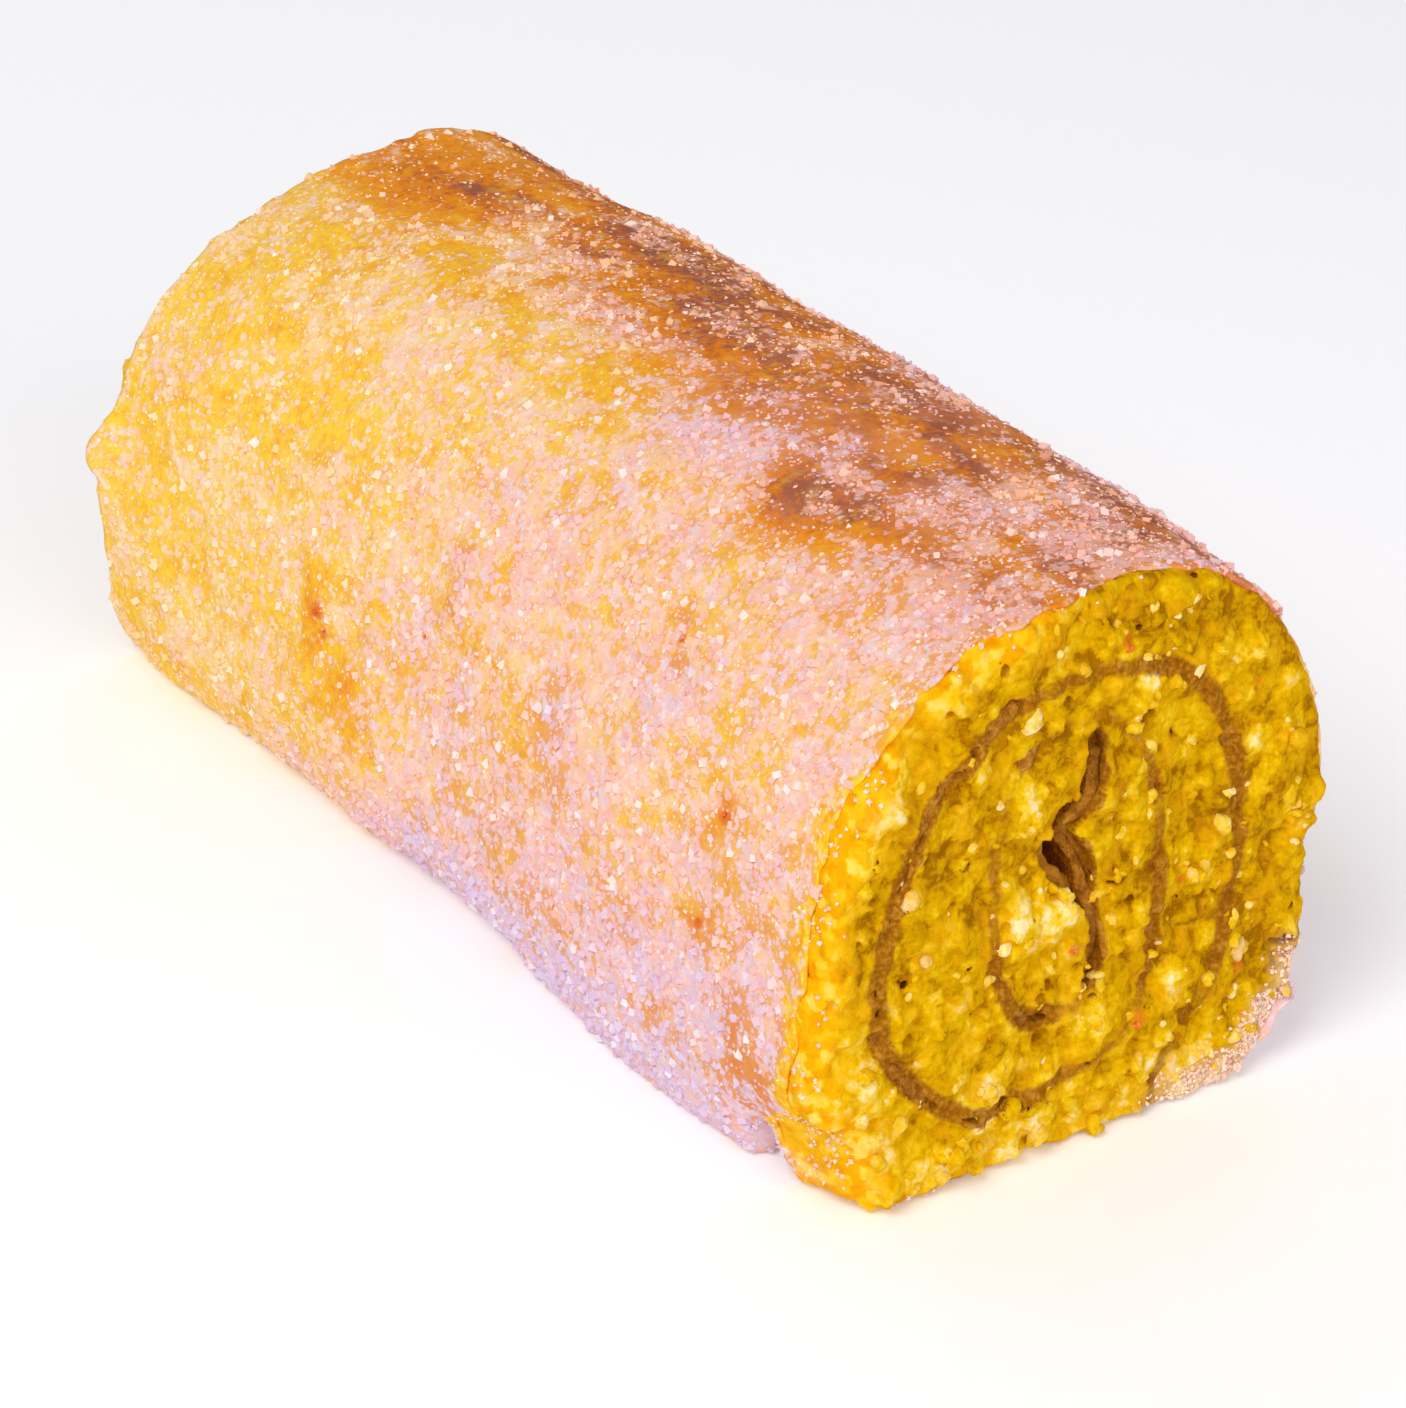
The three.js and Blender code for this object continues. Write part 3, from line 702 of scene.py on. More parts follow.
# White and grey sugar on the rim of the near cut: y, z, reach and amount
FROST = [
    (24, 2, 6, 0.9), (33, 5, 6, 1.0), (38, 10, 4, 0.8), (40, 17, 3, 0.4), (-43, 9, 2.4, 1.0),
    (-38, 4, 2, 0.4),
]

# Orange zest: y and z on the near cut, or x and turning angle on the skin, and length
FACE_ZEST = [
    (1.3, 30.3, 2.4), (12.6, 16.4, 2.6), (31, 18, 1.6), (10.2, 72.4, 2.4), (20, 34.5, 1.5), (33, 60, 1.2),
]
SKIN_ZEST = [
    (-34, 181, 3.2), (-32, 185, 2.2), (75, 161, 2.4), (73, 183, 2.0), (-6, 172, 1.6), (52, 140, 1.8),
]
ZEST_FLECK = {"stretch": (0.35, 0.7, 1.0), "on_cut": 0.6, "on_skin": 0.55, "search": 1.2}


def zest_on_skin(points):
    """Where the zest stains the skin, from 0 to 1."""
    x, angle = straightened(points)
    return clamp01(patches([(zx, za, 0.65 * size, 0.5 * size, 1.0) for zx, za, size in SKIN_ZEST], x, angle))


def spots_on_cut(rows, ys, zs):
    """A value on a cut from spots given as y, z, reach and amount."""
    apart = [amount * fade(np.hypot(ys - y, zs - z), reach) for y, z, reach, amount in rows]
    return clamp01(sum(apart))


def crumb_block(side, line):
    """The block of cells at one cut: its rows of cells and what is known about each cell."""
    step = CRUMB_STEP[side]
    ys = np.arange(-HALF_WIDTH - BLOCK_MARGINS["left"], HALF_WIDTH + BLOCK_MARGINS["right"], step)
    zs = np.arange(-BLOCK_MARGINS["under"], HALF_HEIGHT * 2 + BLOCK_MARGINS["over"], step)
    angles = turning_angle(ys[:, None], zs[None, :])
    shortage = torn_back(side, angles)
    rim_depth = BLOCK["rim_depth"] + BLOCK["deeper_where_torn"] * shortage
    depths = np.arange(-BLOCK["front"], max(BLOCK["middle_depth"], rim_depth.max()) + BLOCK["beyond"], step)
    sheet = sum(h * block_noise((np.array([side * ROLL_LENGTH]), ys, zs), s) for s, h in CRUMB)
    pale = clump_share(side, ys, zs)
    distance, rows = nearest_on_line(ys, zs, line)
    return {
        "step": step, "depths": depths, "ys": ys, "zs": zs, "angles": angles, "shortage": shortage,
        "rim_depth": rim_depth, "level": depths[:, None, None] + sheet + CLUMP_HEIGHT * pale, "pale": pale,
        "skin": skin_distance(side, depths, ys, zs), "distance": distance, "rows": rows,
    }


def torn_crumb(side, block):
    """How far inside the torn cut, the torn rim and the pores each cell lies."""
    depths, ys, zs, level, skin = (block[key] for key in ("depths", "ys", "zs", "level", "skin"))
    inward = depths[:, None, None]
    bare = smoothstep(1.0 + block["shortage"] - inward, -1.2, 0.8)
    torn = sum(h * block_noise((side * (REACH - depths), ys, zs), s) for s, h in TEAR)
    cut = level + torn
    outside = skin - UNDER_SKIN - bare * (0.15 + 0.35 * torn)
    rough = (np.abs(level) < 3.2) | ((np.abs(skin) < 2.6) & (bare > 0.05) & (level > 0))
    i, j, k = np.nonzero(rough)
    spots = np.stack([side * (REACH - depths[i]), ys[j], zs[k]], 1)
    for size, height in CLOTS:
        away, _ = nearest_seed(spots, size)
        cut[rough] += height * (0.5 - away / size)
        outside[rough] += 0.6 * bare[rough] * height * (0.3 - away / size)
    pore = np.full(level.shape, 9.0)
    away, owner = nearest_seed(spots + 500, PORES["size"])
    pore[rough] = away - lerp(PORES["smallest"], PORES["largest"], owner**2)
    return cut, outside, pore


def crumb_field(side, line, block):
    """A field on the block of cells that is above 0 inside the crumb."""
    depths, ys, zs = block["depths"], block["ys"], block["zs"]
    inward = depths[:, None, None]
    cut, outside, pore = torn_crumb(side, block)
    slot = block["distance"][None] - slot_half_width(side, depths, block["rows"], line, ys, zs)
    rim_share = 1 - clamp01(block["skin"] / 34)
    back = lerp(BLOCK["middle_depth"], block["rim_depth"], smoothstep(rim_share, 0.35, 0.95))
    middle, half_width, extra = SHOULDER_ROUNDING
    radius = RIM_ROUNDING + (extra * band(block["angles"], middle, half_width) if side > 0 else 0)
    body = radius - np.hypot(*(np.maximum(radius - part, 0) for part in (cut, outside)))
    field = np.minimum.reduce([body, slot, pore, hole_distance(side, depths, ys, zs), back - inward])
    field[:, :, zs < 0.2] = -1
    joined = reached_from(field > 0, back - inward < 2 * block["step"])
    field = np.where((field > 0) & ~joined, -0.2, field)
    outer = np.zeros(field.shape, bool)
    outer[0] = True
    open_air = reached_from(field <= 0, outer)
    return np.where((field <= 0) & ~open_air, 0.2, field)


def crumb_looks(side, line, block, points, cells):
    """The values that colour the crumb, for each of its points and the cell that it lies in."""
    c, flat = tuple(cells.T), tuple(cells.T[1:])
    level, skin, angles = block["level"][c], block["skin"][c], block["angles"][flat]
    nearest = line[block["rows"][flat]]
    brown, _, width = line_looks(nearest[:, 2], side)
    from_wall = block["distance"][flat] - core_gape(side, nearest[:, 3])
    _, y, z = points.T
    spots = np.stack([side * (REACH - points[:, 0]), y, z], 1)
    (away, clot), (fine_away, fine_clot) = (nearest_seed(spots, size) for size, _ in CLOTS)
    away, fine_away = away / CLOTS[0][0], fine_away / CLOTS[1][0]
    rim = 1 - clamp01(skin / 9)
    bright_rim = (1 - smoothstep(skin, 3, 11)) * band(angles, 190, 130)
    shaded_side = smoothstep(y, 10, 32) * smoothstep(z, 56, 22)
    lit = 0.39 - 0.006 * (z - 28) + 0.5 * bright_rim - 0.5 * shaded_side + 0.4 * smoothstep(z, 14, 4)
    lit = lit + 0.3 * fade(np.hypot(y + 3, z - 40), 15) - 0.25 * fade(np.hypot(y + 26, z - 42), 10)
    open_pit = smoothstep(skin, 3, 9)
    stains = [(zest_y, zest_z, ZEST_FLECK["on_cut"] * size, 1.0) for zest_y, zest_z, size in FACE_ZEST]
    return {
        "soak": brown * (1 - smoothstep(from_wall, width * 0.22, width * 0.95)),
        # painted shade, darker where the cut lies deeper than its face
        "pit_shade": clamp01((level - 0.3) / 2.6) * open_pit,
        "pale": block["pale"][flat],
        "lit": clamp01(lit),
        "clot": clot,
        "fine_clot": fine_clot,
        # painted shade in the creases between clots
        "crevice_shade": 0.6 * smoothstep(away, 0.4, 0.75) + 0.4 * smoothstep(fine_away, 0.4, 0.75),
        # painted light, lifting the deep hollows of the cut to a brighter orange
        "hollow_light": smoothstep(level, 2.2, 6) * open_pit,
        # painted light: the rim of the near cut is brightened where the light catches it
        "glow": rim * band(angles, 160, 95) * (side > 0),
        "frost": spots_on_cut(FROST, y, z) * smoothstep(rim, 0.2, 0.8) * (side > 0),
        "zest": spots_on_cut(stains, y, z) * (side > 0),
    }


def make_crumb(name, side, line, material):
    """The crumb at one cut. It gives back what the small things on it need."""
    block = crumb_block(side, line)
    origin = np.array([block["depths"][0], block["ys"][0], block["zs"][0]])
    points, quads, cells = surface_net(crumb_field(side, line, block), block["step"], origin)
    flat = placed(side * (REACH - points[:, 0]), points[:, 1], np.maximum(points[:, 2], LEAST_HEIGHT))
    quads = quads[:, ::-1] if side > 0 else quads
    looks = crumb_looks(side, line, block, points, cells)
    piece = make_piece(name, flat, [quads], material, looks)
    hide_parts("sponge")
    c = tuple(cells.T)
    return {
        "points": flat, "quads": quads, "normals": vertex_normals(flat, quads), "level": block["level"][c],
        "skin": block["skin"][c], "angle": block["angles"][c[1:]], "pale": looks["pale"],
    }


def make_filling(line, material):
    """The filling as one uneven ribbon along the spiral, through the whole roll."""
    rows = line[(line[:, 1] > FILLING_START_Z) & (line[:, 3] > 1.2)]
    ahead = np.gradient(rows[:, :2], axis=0)
    ahead = ahead / np.linalg.norm(ahead, axis=1, keepdims=True)
    outward = np.stack([ahead[:, 1], -ahead[:, 0]], 1)
    depths = np.array([0, 0.5, 1.2, 2.2, 3.6, 6, 12, FILLING_SOUND_DEPTH, 60])
    reach = REACH - 0.25
    side_x = np.concatenate([-(reach - depths), (reach - depths)[::-1]])
    cap = [(0.5, 0.35), (0.0, 0.5), (-0.5, 0.35)]  # rounding of each end: across, outward along X
    loop = [(x, 1.0) for x in side_x] + [(reach + out, across) for across, out in cap]
    loop = loop + [(x, -1.0) for x in side_x[::-1]] + [(-reach - out, -across) for across, out in cap]
    rings = []
    for x0, across in loop:
        x = np.full(len(rows), float(x0))
        y, z = rows[:, 0], rows[:, 1]
        side = np.sign(x0)
        opened = line_looks(rows[:, 2], side)[1]
        gape = core_gape(side, rows[:, 3])
        at_end = max(1 - max(reach - abs(x0), 0) / FILLING_SOUND_DEPTH, 0)
        thick = FILLING_THICKNESS / 2 * (1 + 0.25 * noise(x, y, z, 4.5)) + 0.2 * noise(x, y, z, 1.6)
        thick = thick + PRESSED_IN * at_end * np.maximum(1 - gape, 0)
        wave = 0.5 * noise(x, y, z, 6) + 0.5 * noise(x, y + 9, z, 1.9) + 1.3 * (1 - opened) + 1.6 * gape
        x = x - side * at_end * np.maximum(wave, -0.2)
        spot = rows[:, :2] + outward * (across * thick + 0.9 * gape * at_end)[:, None]
        rings.append(placed(x, spot[:, 0], np.maximum(spot[:, 1], 0.5)))
    grid = np.array(rings).transpose(1, 0, 2)
    total, count = grid.shape[:2]
    ends = [grid[0].mean(0, keepdims=True), grid[-1].mean(0, keepdims=True)]
    points = np.concatenate([grid.reshape(-1, 3), *ends])
    faces = closed_tube_faces(total, count)
    piece = make_piece("filling_layer", points, faces, material)
    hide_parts("filling")


# Small things: sugar, crumbs and zest

# Larger crumbs at the foot of the near cut: y, z and size
BASE_CRUMBS = [
    (-6, 1.2, 2.6), (-8.5, 1, 1.8), (2, 1, 2.2), (4, 1.2, 1.8), (-17, 1, 2.0), (10, 1.2, 1.8),
    (39.5, 9.5, 1.7),
]

# Crumbs that cling to the cuts: how many at the near and the far one, and their sizes
CRUMB_COUNTS = (270, 150)
CRUMB_SIZES = (0.9, 2.5)

# Grains of sugar spilt over the rim of the near cut
RIM_GRAINS = {"count": 1500, "sizes": (0.45, 0.95)}

CUBE = np.array([(x, y, z) for x in (-1, 1) for y in (-1, 1) for z in (-1, 1)], float) / 2
CUBE_FACES = np.array([
    (0, 1, 3), (0, 3, 2), (4, 6, 7), (4, 7, 5), (0, 4, 5), (0, 5, 1),
    (2, 3, 7), (2, 7, 6), (0, 2, 6), (0, 6, 4), (1, 5, 7), (1, 7, 3),
])
GEM = np.array([(1, 0, 0), (-1, 0, 0), (0, 1, 0), (0, -1, 0), (0, 0, 1), (0, 0, -1)], float) / 2
GEM_FACES = np.array([
    (0, 2, 4), (2, 1, 4), (1, 3, 4), (3, 0, 4), (2, 0, 5), (1, 2, 5), (3, 1, 5), (0, 3, 5),
])

# Grains of sugar on the skin: how many places are tried, the sizes and shape, and the chance that a place
# is kept, which is the least chance, plus a gain for the sugar there to a power, plus one for its browning
SUGAR_GRAINS = [
    {"name": "sugar_coarse", "tries": 22000, "sizes": (0.8, 1.25), "shape": (CUBE, CUBE_FACES),
     "least": 0.02, "gain": 0.85, "power": 1.7, "on_brown": 0},
    {"name": "sugar_medium", "tries": 54000, "sizes": (0.7, 1.1), "shape": (GEM, GEM_FACES),
     "least": 0.03, "gain": 0.9, "power": 1.3, "on_brown": 0.12},
    {"name": "sugar_fine", "tries": 36000, "sizes": (0.5, 0.75), "shape": (GEM, GEM_FACES),
     "least": 0.05, "gain": 0.85, "power": 1, "on_brown": 0},
]
GRAIN_UNEVENNESS = 0.18
GRAIN_LIFT = 0.16  # the middle of a grain lies this share of its size above the skin


def ball(levels):
    """A round mesh of triangles, as points of radius one half and faces."""
    points = [tuple(row) for row in GEM * 2]
    faces = [tuple(row) for row in GEM_FACES]
    for _ in range(levels):
        middles, finer = {}, []

        def middle(a, b):
            key = (min(a, b), max(a, b))
            if key not in middles:
                middles[key] = len(points)
                points.append(tuple((p + q) / 2 for p, q in zip(points[a], points[b])))
            return middles[key]

        for a, b, c in faces:
            ab, bc, ca = middle(a, b), middle(b, c), middle(c, a)
            finer += [(a, ab, ca), (ab, b, bc), (ca, bc, c), (ab, bc, ca)]
        faces = finer
    points = np.array(points)
    return points / np.linalg.norm(points, axis=1, keepdims=True) / 2, np.array(faces)


def turns(rng, count):
    """Random rotations."""
    q = rng.normal(size=(count, 4))
    w, x, y, z = (q / np.linalg.norm(q, axis=1, keepdims=True)).T
    rows = [1 - 2 * (y * y + z * z), 2 * (x * y - w * z), 2 * (x * z + w * y)]
    rows += [2 * (x * y + w * z), 1 - 2 * (x * x + z * z), 2 * (y * z - w * x)]
    rows += [2 * (x * z - w * y), 2 * (y * z + w * x), 1 - 2 * (x * x + y * y)]
    return np.stack(rows, 1).reshape(-1, 3, 3)


def strewn(rng, spots, sizes, shape, unevenness, stretches=(0.75, 1.15), bulges=0.0):
    """Copies of one shape at these spots, each uneven in its own way, as points and faces."""
    template, faces = shape
    count = len(spots)
    stretch = rng.uniform(*stretches, (count, 1, 3))
    wobble = 1 + unevenness * rng.uniform(-1, 1, (count, len(template), 1))
    for _ in range(3 if bulges else 0):
        toward = rng.normal(size=(count, 3))
        toward = toward / np.linalg.norm(toward, axis=1, keepdims=True)
        facing = 2 * np.einsum("vk,nk->nv", template, toward)
        dent_or_bulge = rng.choice([-0.7, 1.0], (count, 1, 1))
        wobble = wobble + bulges * dent_or_bulge * smoothstep(facing, 0.2, 0.9)[..., None]
    local = template * stretch * wobble * sizes[:, None, None]
    points = np.einsum("nij,nkj->nki", turns(rng, count), local) + spots[:, None]
    numbered = faces[None] + len(template) * np.arange(count)[:, None, None]
    return points, numbered.reshape(-1, 3)


def skin_spots(rng, grid, looks, normals, grains):
    """Random places on the skin, kept with a chance that depends on the looks there."""
    tries = grains["tries"]
    rows, columns = grid.shape[:2]
    i = rng.uniform(0, rows - 1.001, tries)
    j = rng.uniform(0, columns, tries)
    i0, j0 = i.astype(int), j.astype(int) % columns
    di, dj = (i - i0)[:, None], (j - np.floor(j))[:, None]
    j1 = (j0 + 1) % columns
    place = lerp(lerp(grid[i0, j0], grid[i0, j1], dj), lerp(grid[i0 + 1, j0], grid[i0 + 1, j1], dj), di)
    here = [value[i0, j0] for value in looks]
    tone, sugar, _ = here
    chance = grains["least"] + grains["gain"] * sugar**grains["power"] + grains["on_brown"] * tone
    keep = (rng.random(tries) < chance) & (place[:, 2] > 0.4)
    return place[keep], normals[i0, j0][keep], [value[keep] for value in here]


def make_sugar(grains, rng, grid, looks, normals, material):
    """Grains of sugar of one size all over the skin."""
    places, outward, (tone, _, cool) = skin_spots(rng, grid, looks, normals, grains)
    size = rng.uniform(*grains["sizes"], len(places))
    spots = places + outward * (size * GRAIN_LIFT)[:, None]
    points, faces = strewn(rng, spots, size, grains["shape"], GRAIN_UNEVENNESS)
    lowest = LEAST_HEIGHT + 0.01
    low = points[:, :, 2].min(1) < lowest
    points[low, :, 2] += lowest - points[low, :, 2].min(1)[:, None]
    attributes = {"tint": rng.random(len(places)), "tone": tone, "cool": cool}
    attributes = {key: np.repeat(values, points.shape[1]) for key, values in attributes.items()}
    make_piece(grains["name"], points.reshape(-1, 3), [faces], material, attributes, smooth=False)


def vertex_normals(points, quads):
    a, b, c, d = (points[quads[:, k]] for k in range(4))
    face = np.cross(c - a, d - b)
    normals = np.zeros_like(points)
    for k in range(4):
        np.add.at(normals, quads[:, k], face)
    return normals / np.maximum(np.linalg.norm(normals, axis=1, keepdims=True), 1e-9)


def make_crumbs(rng, faces_of_crumb, material):
    """Clots of crumb that cling to both cuts."""
    spots, sizes = [], []
    for crumb, count in zip(faces_of_crumb, CRUMB_COUNTS):
        front = np.nonzero((crumb["level"] < 1.2) & (crumb["skin"] > 2.5))[0]
        x, y, z = crumb["points"][front].T
        weight = np.exp(1.6 * noise(x, y, z, 7) + 1.6 * crumb["pale"][front])
        chosen = rng.choice(front, count, p=weight / weight.sum(), replace=False)
        size = lerp(*CRUMB_SIZES, rng.random(count) ** 2)
        spots.append(crumb["points"][chosen] - crumb["normals"][chosen] * (size * 0.32)[:, None])
        sizes.append(size)
    near = faces_of_crumb[0]["points"]
    for y, z, size in BASE_CRUMBS:
        close = near[np.hypot(near[:, 1] - y, near[:, 2] - z) < 2]
        spots.append(close[[close[:, 0].argmax()]])
        sizes.append([size])
    spots, sizes = np.concatenate(spots), np.concatenate(sizes)
    spots[:, 2] = np.maximum(spots[:, 2], sizes * 0.7)
    points, faces = strewn(rng, spots, sizes, ball(2), 0.2, (0.65, 1.25), 0.6)
    points[:, :, 2] = np.maximum(points[:, :, 2], LEAST_HEIGHT)
    own = 0.3 + 0.7 * rng.random((3, len(spots)))
    looks = dict(zip(("clot", "fine_clot", "lit"), own * np.array([[1], [1], [0.5]])))
    looks["pale"] = 0.25 + 0.65 * rng.random(len(spots))
    looks = {key: np.repeat(values, points.shape[1]) for key, values in looks.items()}
    make_piece("crumbs", points.reshape(-1, 3), [faces], material, looks)


def make_rim_sugar(rng, near_crumb, material):
    """Grains of sugar that have spilt over the rim of the near cut and stuck to its crumb."""
    x, y, z = near_crumb["points"].T
    frost = spots_on_cut(FROST, y - CENTRING["y"], z)
    spilt = fade(np.maximum(near_crumb["skin"] - 0.3, 0), 1.5) * band(near_crumb["angle"], 160, 100)
    clusters = smoothstep(noise(x, y, z, 4), -0.2, 0.6)
    chance = (near_crumb["level"] < 9) * (frost * fade(near_crumb["skin"], 4) + 0.12 * spilt * clusters)
    chosen = rng.choice(len(x), RIM_GRAINS["count"], p=chance / chance.sum(), replace=False)
    size = rng.uniform(*RIM_GRAINS["sizes"], len(chosen))
    spots = near_crumb["points"][chosen] + near_crumb["normals"][chosen] * (size * 0.2)[:, None]
    spots[:, 2] = np.maximum(spots[:, 2], size * 0.6)
    points, faces = strewn(rng, spots, size, (GEM, GEM_FACES), GRAIN_UNEVENNESS)
    points[:, :, 2] = np.maximum(points[:, :, 2], LEAST_HEIGHT)
    tint = np.repeat(rng.uniform(0.5, 1, len(spots)), points.shape[1])
    looks = {"tint": tint, "tone": 0 * tint, "cool": 0 * tint + 0.35}
    make_piece("sugar_on_rim", points.reshape(-1, 3), [faces], material, looks, smooth=False)


def make_zest(rng, near_crumb, grid, material):
    """Flecks of orange zest in the near cut and on the skin."""
    spots, sizes = [], []
    front = near_crumb["level"] < 0.8
    face_points = near_crumb["points"][front]
    for y, z, size in FACE_ZEST:
        away = np.hypot(face_points[:, 1] - (y + CENTRING["y"]), face_points[:, 2] - z)
        close = face_points[away < ZEST_FLECK["search"]]
        if len(close):
            spots.append(close[close[:, 0].argmax()])
            sizes.append(ZEST_FLECK["on_cut"] * size)
    skin_points = grid.reshape(-1, 3)
    x, angle = straightened(skin_points)
    for zest_x, zest_angle, size in SKIN_ZEST:
        away = np.hypot(x - zest_x, np.radians(angle - zest_angle) * HALF_WIDTH)
        spots.append(skin_points[away.argmin()])
        sizes.append(ZEST_FLECK["on_skin"] * size)
    spots, sizes = np.array(spots), np.array(sizes)
    template, faces = ball(2)
    flat = template * np.array(ZEST_FLECK["stretch"])
    points, numbered = strewn(rng, spots, sizes, (flat, faces), 0.05, (0.75, 1.15), 0.2)
    make_piece("zest", points.reshape(-1, 3), [numbered], material)


# Materials

def hex_colour(text):
    channels = [int(text[i:i + 2], 16) / 255 for i in (0, 2, 4)]
    linear = [c / 12.92 if c <= 0.04045 else ((c + 0.055) / 1.055) ** 2.4 for c in channels]
    return (*linear, 1.0)


# How sugar is tinted by what lies below it and by the light: from golden to pink to lavender
DUST_COLOURS = [(0.0, "FBDC9A"), (0.3, "F9CEAC"), (0.6, "F5C4BE"), (1.0, "E0CAE6")]


class Looks:
    """A node material that is put together step by step."""

    def __init__(self, name):
        self.material = bpy.data.materials.new(name)
        self.material.use_nodes = True
        self.tree = self.material.node_tree
        self.shader = self.tree.nodes["Principled BSDF"]
        self.place = self.node("ShaderNodeTexCoord").outputs["Object"]

    def node(self, kind, **settings):
        made = self.tree.nodes.new(kind)
        for key, value in settings.items():
            setattr(made, key, value)
        return made

    def feed(self, socket, value):
        if hasattr(value, "links"):
            self.tree.links.new(value, socket)
        else:
            socket.default_value = value

    def attribute(self, name):
        return self.node("ShaderNodeAttribute", attribute_name=name).outputs["Fac"]

    def noise(self, size_mm, detail=2.0, roughness=0.5):
        made = self.node("ShaderNodeTexNoise")
        self.feed(made.inputs["Vector"], self.place)
        made.inputs["Scale"].default_value = 1 / (size_mm * MM)
        made.inputs["Detail"].default_value = detail
        made.inputs["Roughness"].default_value = roughness
        return made.outputs["Fac"]

    def cells(self, size_mm):
        """The distance to the middle of small cells, in cells, and two random values for each cell."""
        made = self.node("ShaderNodeTexVoronoi")
        self.feed(made.inputs["Vector"], self.place)
        made.inputs["Scale"].default_value = 1 / (size_mm * MM)
        parts = self.node("ShaderNodeSeparateColor")
        self.feed(parts.inputs["Color"], made.outputs["Color"])
        return made.outputs["Distance"], parts.outputs["Red"], parts.outputs["Green"]

    def grains(self, size_mm, cover):
        """Painted grains of this size: where they lie, and a random value for each."""
        distance, chosen, shade = self.cells(size_mm)
        present = self.rise(self.math("SUBTRACT", cover, chosen), 0.0, 0.04)
        return self.times(present, self.rise(distance, 0.5, 0.3)), shade

    def math(self, operation, first, second=0.0):
        made = self.node("ShaderNodeMath", operation=operation)
        self.feed(made.inputs[0], first)
        self.feed(made.inputs[1], second)
        return made.outputs[0]

    def times(self, value, factor):
        return self.math("MULTIPLY", value, factor)

    def swing(self, value):
        """A value around one half, moved to lie around 0."""
        return self.math("SUBTRACT", value, 0.5)

    def total(self, *terms):
        """The sum of terms, each a value or a pair of a value and its weight."""
        result = 0.0
        for term in terms:
            result = self.math("ADD", result, self.times(*term) if isinstance(term, tuple) else term)
        return result

    def rise(self, value, low, high):
        made = self.node("ShaderNodeMapRange", interpolation_type="SMOOTHSTEP")
        self.feed(made.inputs["Value"], value)
        self.feed(made.inputs["From Min"], low)
        self.feed(made.inputs["From Max"], high)
        return made.outputs["Result"]

    def ramp(self, value, stops):
        made = self.node("ShaderNodeValToRGB")
        self.feed(made.inputs["Fac"], value)
        elements = made.color_ramp.elements
        while len(elements) < len(stops):
            elements.new(0.5)
        for element, (place, colour) in zip(elements, stops):
            element.position = place
            element.color = hex_colour(colour)
        return made.outputs["Color"]

    def mix(self, share, first, second, blend="MIX"):
        made = self.node("ShaderNodeMix", data_type="RGBA", blend_type=blend)
        self.feed(made.inputs["Factor"], share)
        sockets = [s for s in made.inputs if s.type == "RGBA"]
        for socket, value in zip(sockets, (first, second)):
            self.feed(socket, hex_colour(value) if isinstance(value, str) else value)
        return next(s for s in made.outputs if s.type == "RGBA")

    def bump(self, height, distance_mm, strength=1.0):
        made = self.node("ShaderNodeBump")
        self.feed(made.inputs["Height"], height)
        made.inputs["Distance"].default_value = distance_mm * MM
        made.inputs["Strength"].default_value = strength
        self.feed(self.shader.inputs["Normal"], made.outputs["Normal"])

    def finish(self, colour, roughness, **shader):
        self.feed(self.shader.inputs["Base Color"], colour)
        self.feed(self.shader.inputs["Roughness"], roughness)
        for key, value in shader.items():
            self.shader.inputs[key.replace("_", " ")].default_value = value
        return self.material


def skin_colour(looks, mottle, fine):
    """The bare skin: golden to brown by its tone, with yellow, reddish and torn places."""
    broad = looks.noise(4.5, 2)
    tone = looks.total(looks.attribute("tone"), (looks.swing(mottle), 0.8))
    tone = looks.total(tone, (looks.swing(fine), 0.35), (looks.swing(broad), 0.35))
    sponge = looks.ramp(tone, [
        (0.0, "FACE40"), (0.2, "F4B62E"), (0.4, "EE9C24"), (0.6, "E88A0C"), (0.8, "D07018"), (1.0, "9C5640"),
    ])
    yellow = looks.rise(looks.noise(2.6, 3), 0.5, 0.72)
    sponge = looks.mix(looks.times(yellow, 0.4), sponge, "F4BA20")
    reddish = looks.rise(looks.noise(4.2, 3, 0.6), 0.56, 0.72)
    reddish = looks.times(reddish, looks.rise(looks.attribute("tone"), 0.05, 0.3))
    sponge = looks.mix(looks.times(reddish, 0.6), sponge, "E07A34")
    # The base turns rosy where the coolness is high, so it also follows the painted cool shade low down and
    # the painted cool rim reflection at the edges
    rosy = looks.rise(looks.attribute("cool"), 0.35, 0.8)
    sponge = looks.mix(looks.times(rosy, 0.6), sponge, "E08A54")
    bared = looks.rise(looks.total(looks.attribute("bared"), (looks.swing(mottle), 0.8)), 0.3, 0.6)
    torn = looks.ramp(mottle, [(0.34, "EE9C10"), (0.5, "F4B81C"), (0.62, "F8D03C")])
    return looks.mix(bared, sponge, torn)


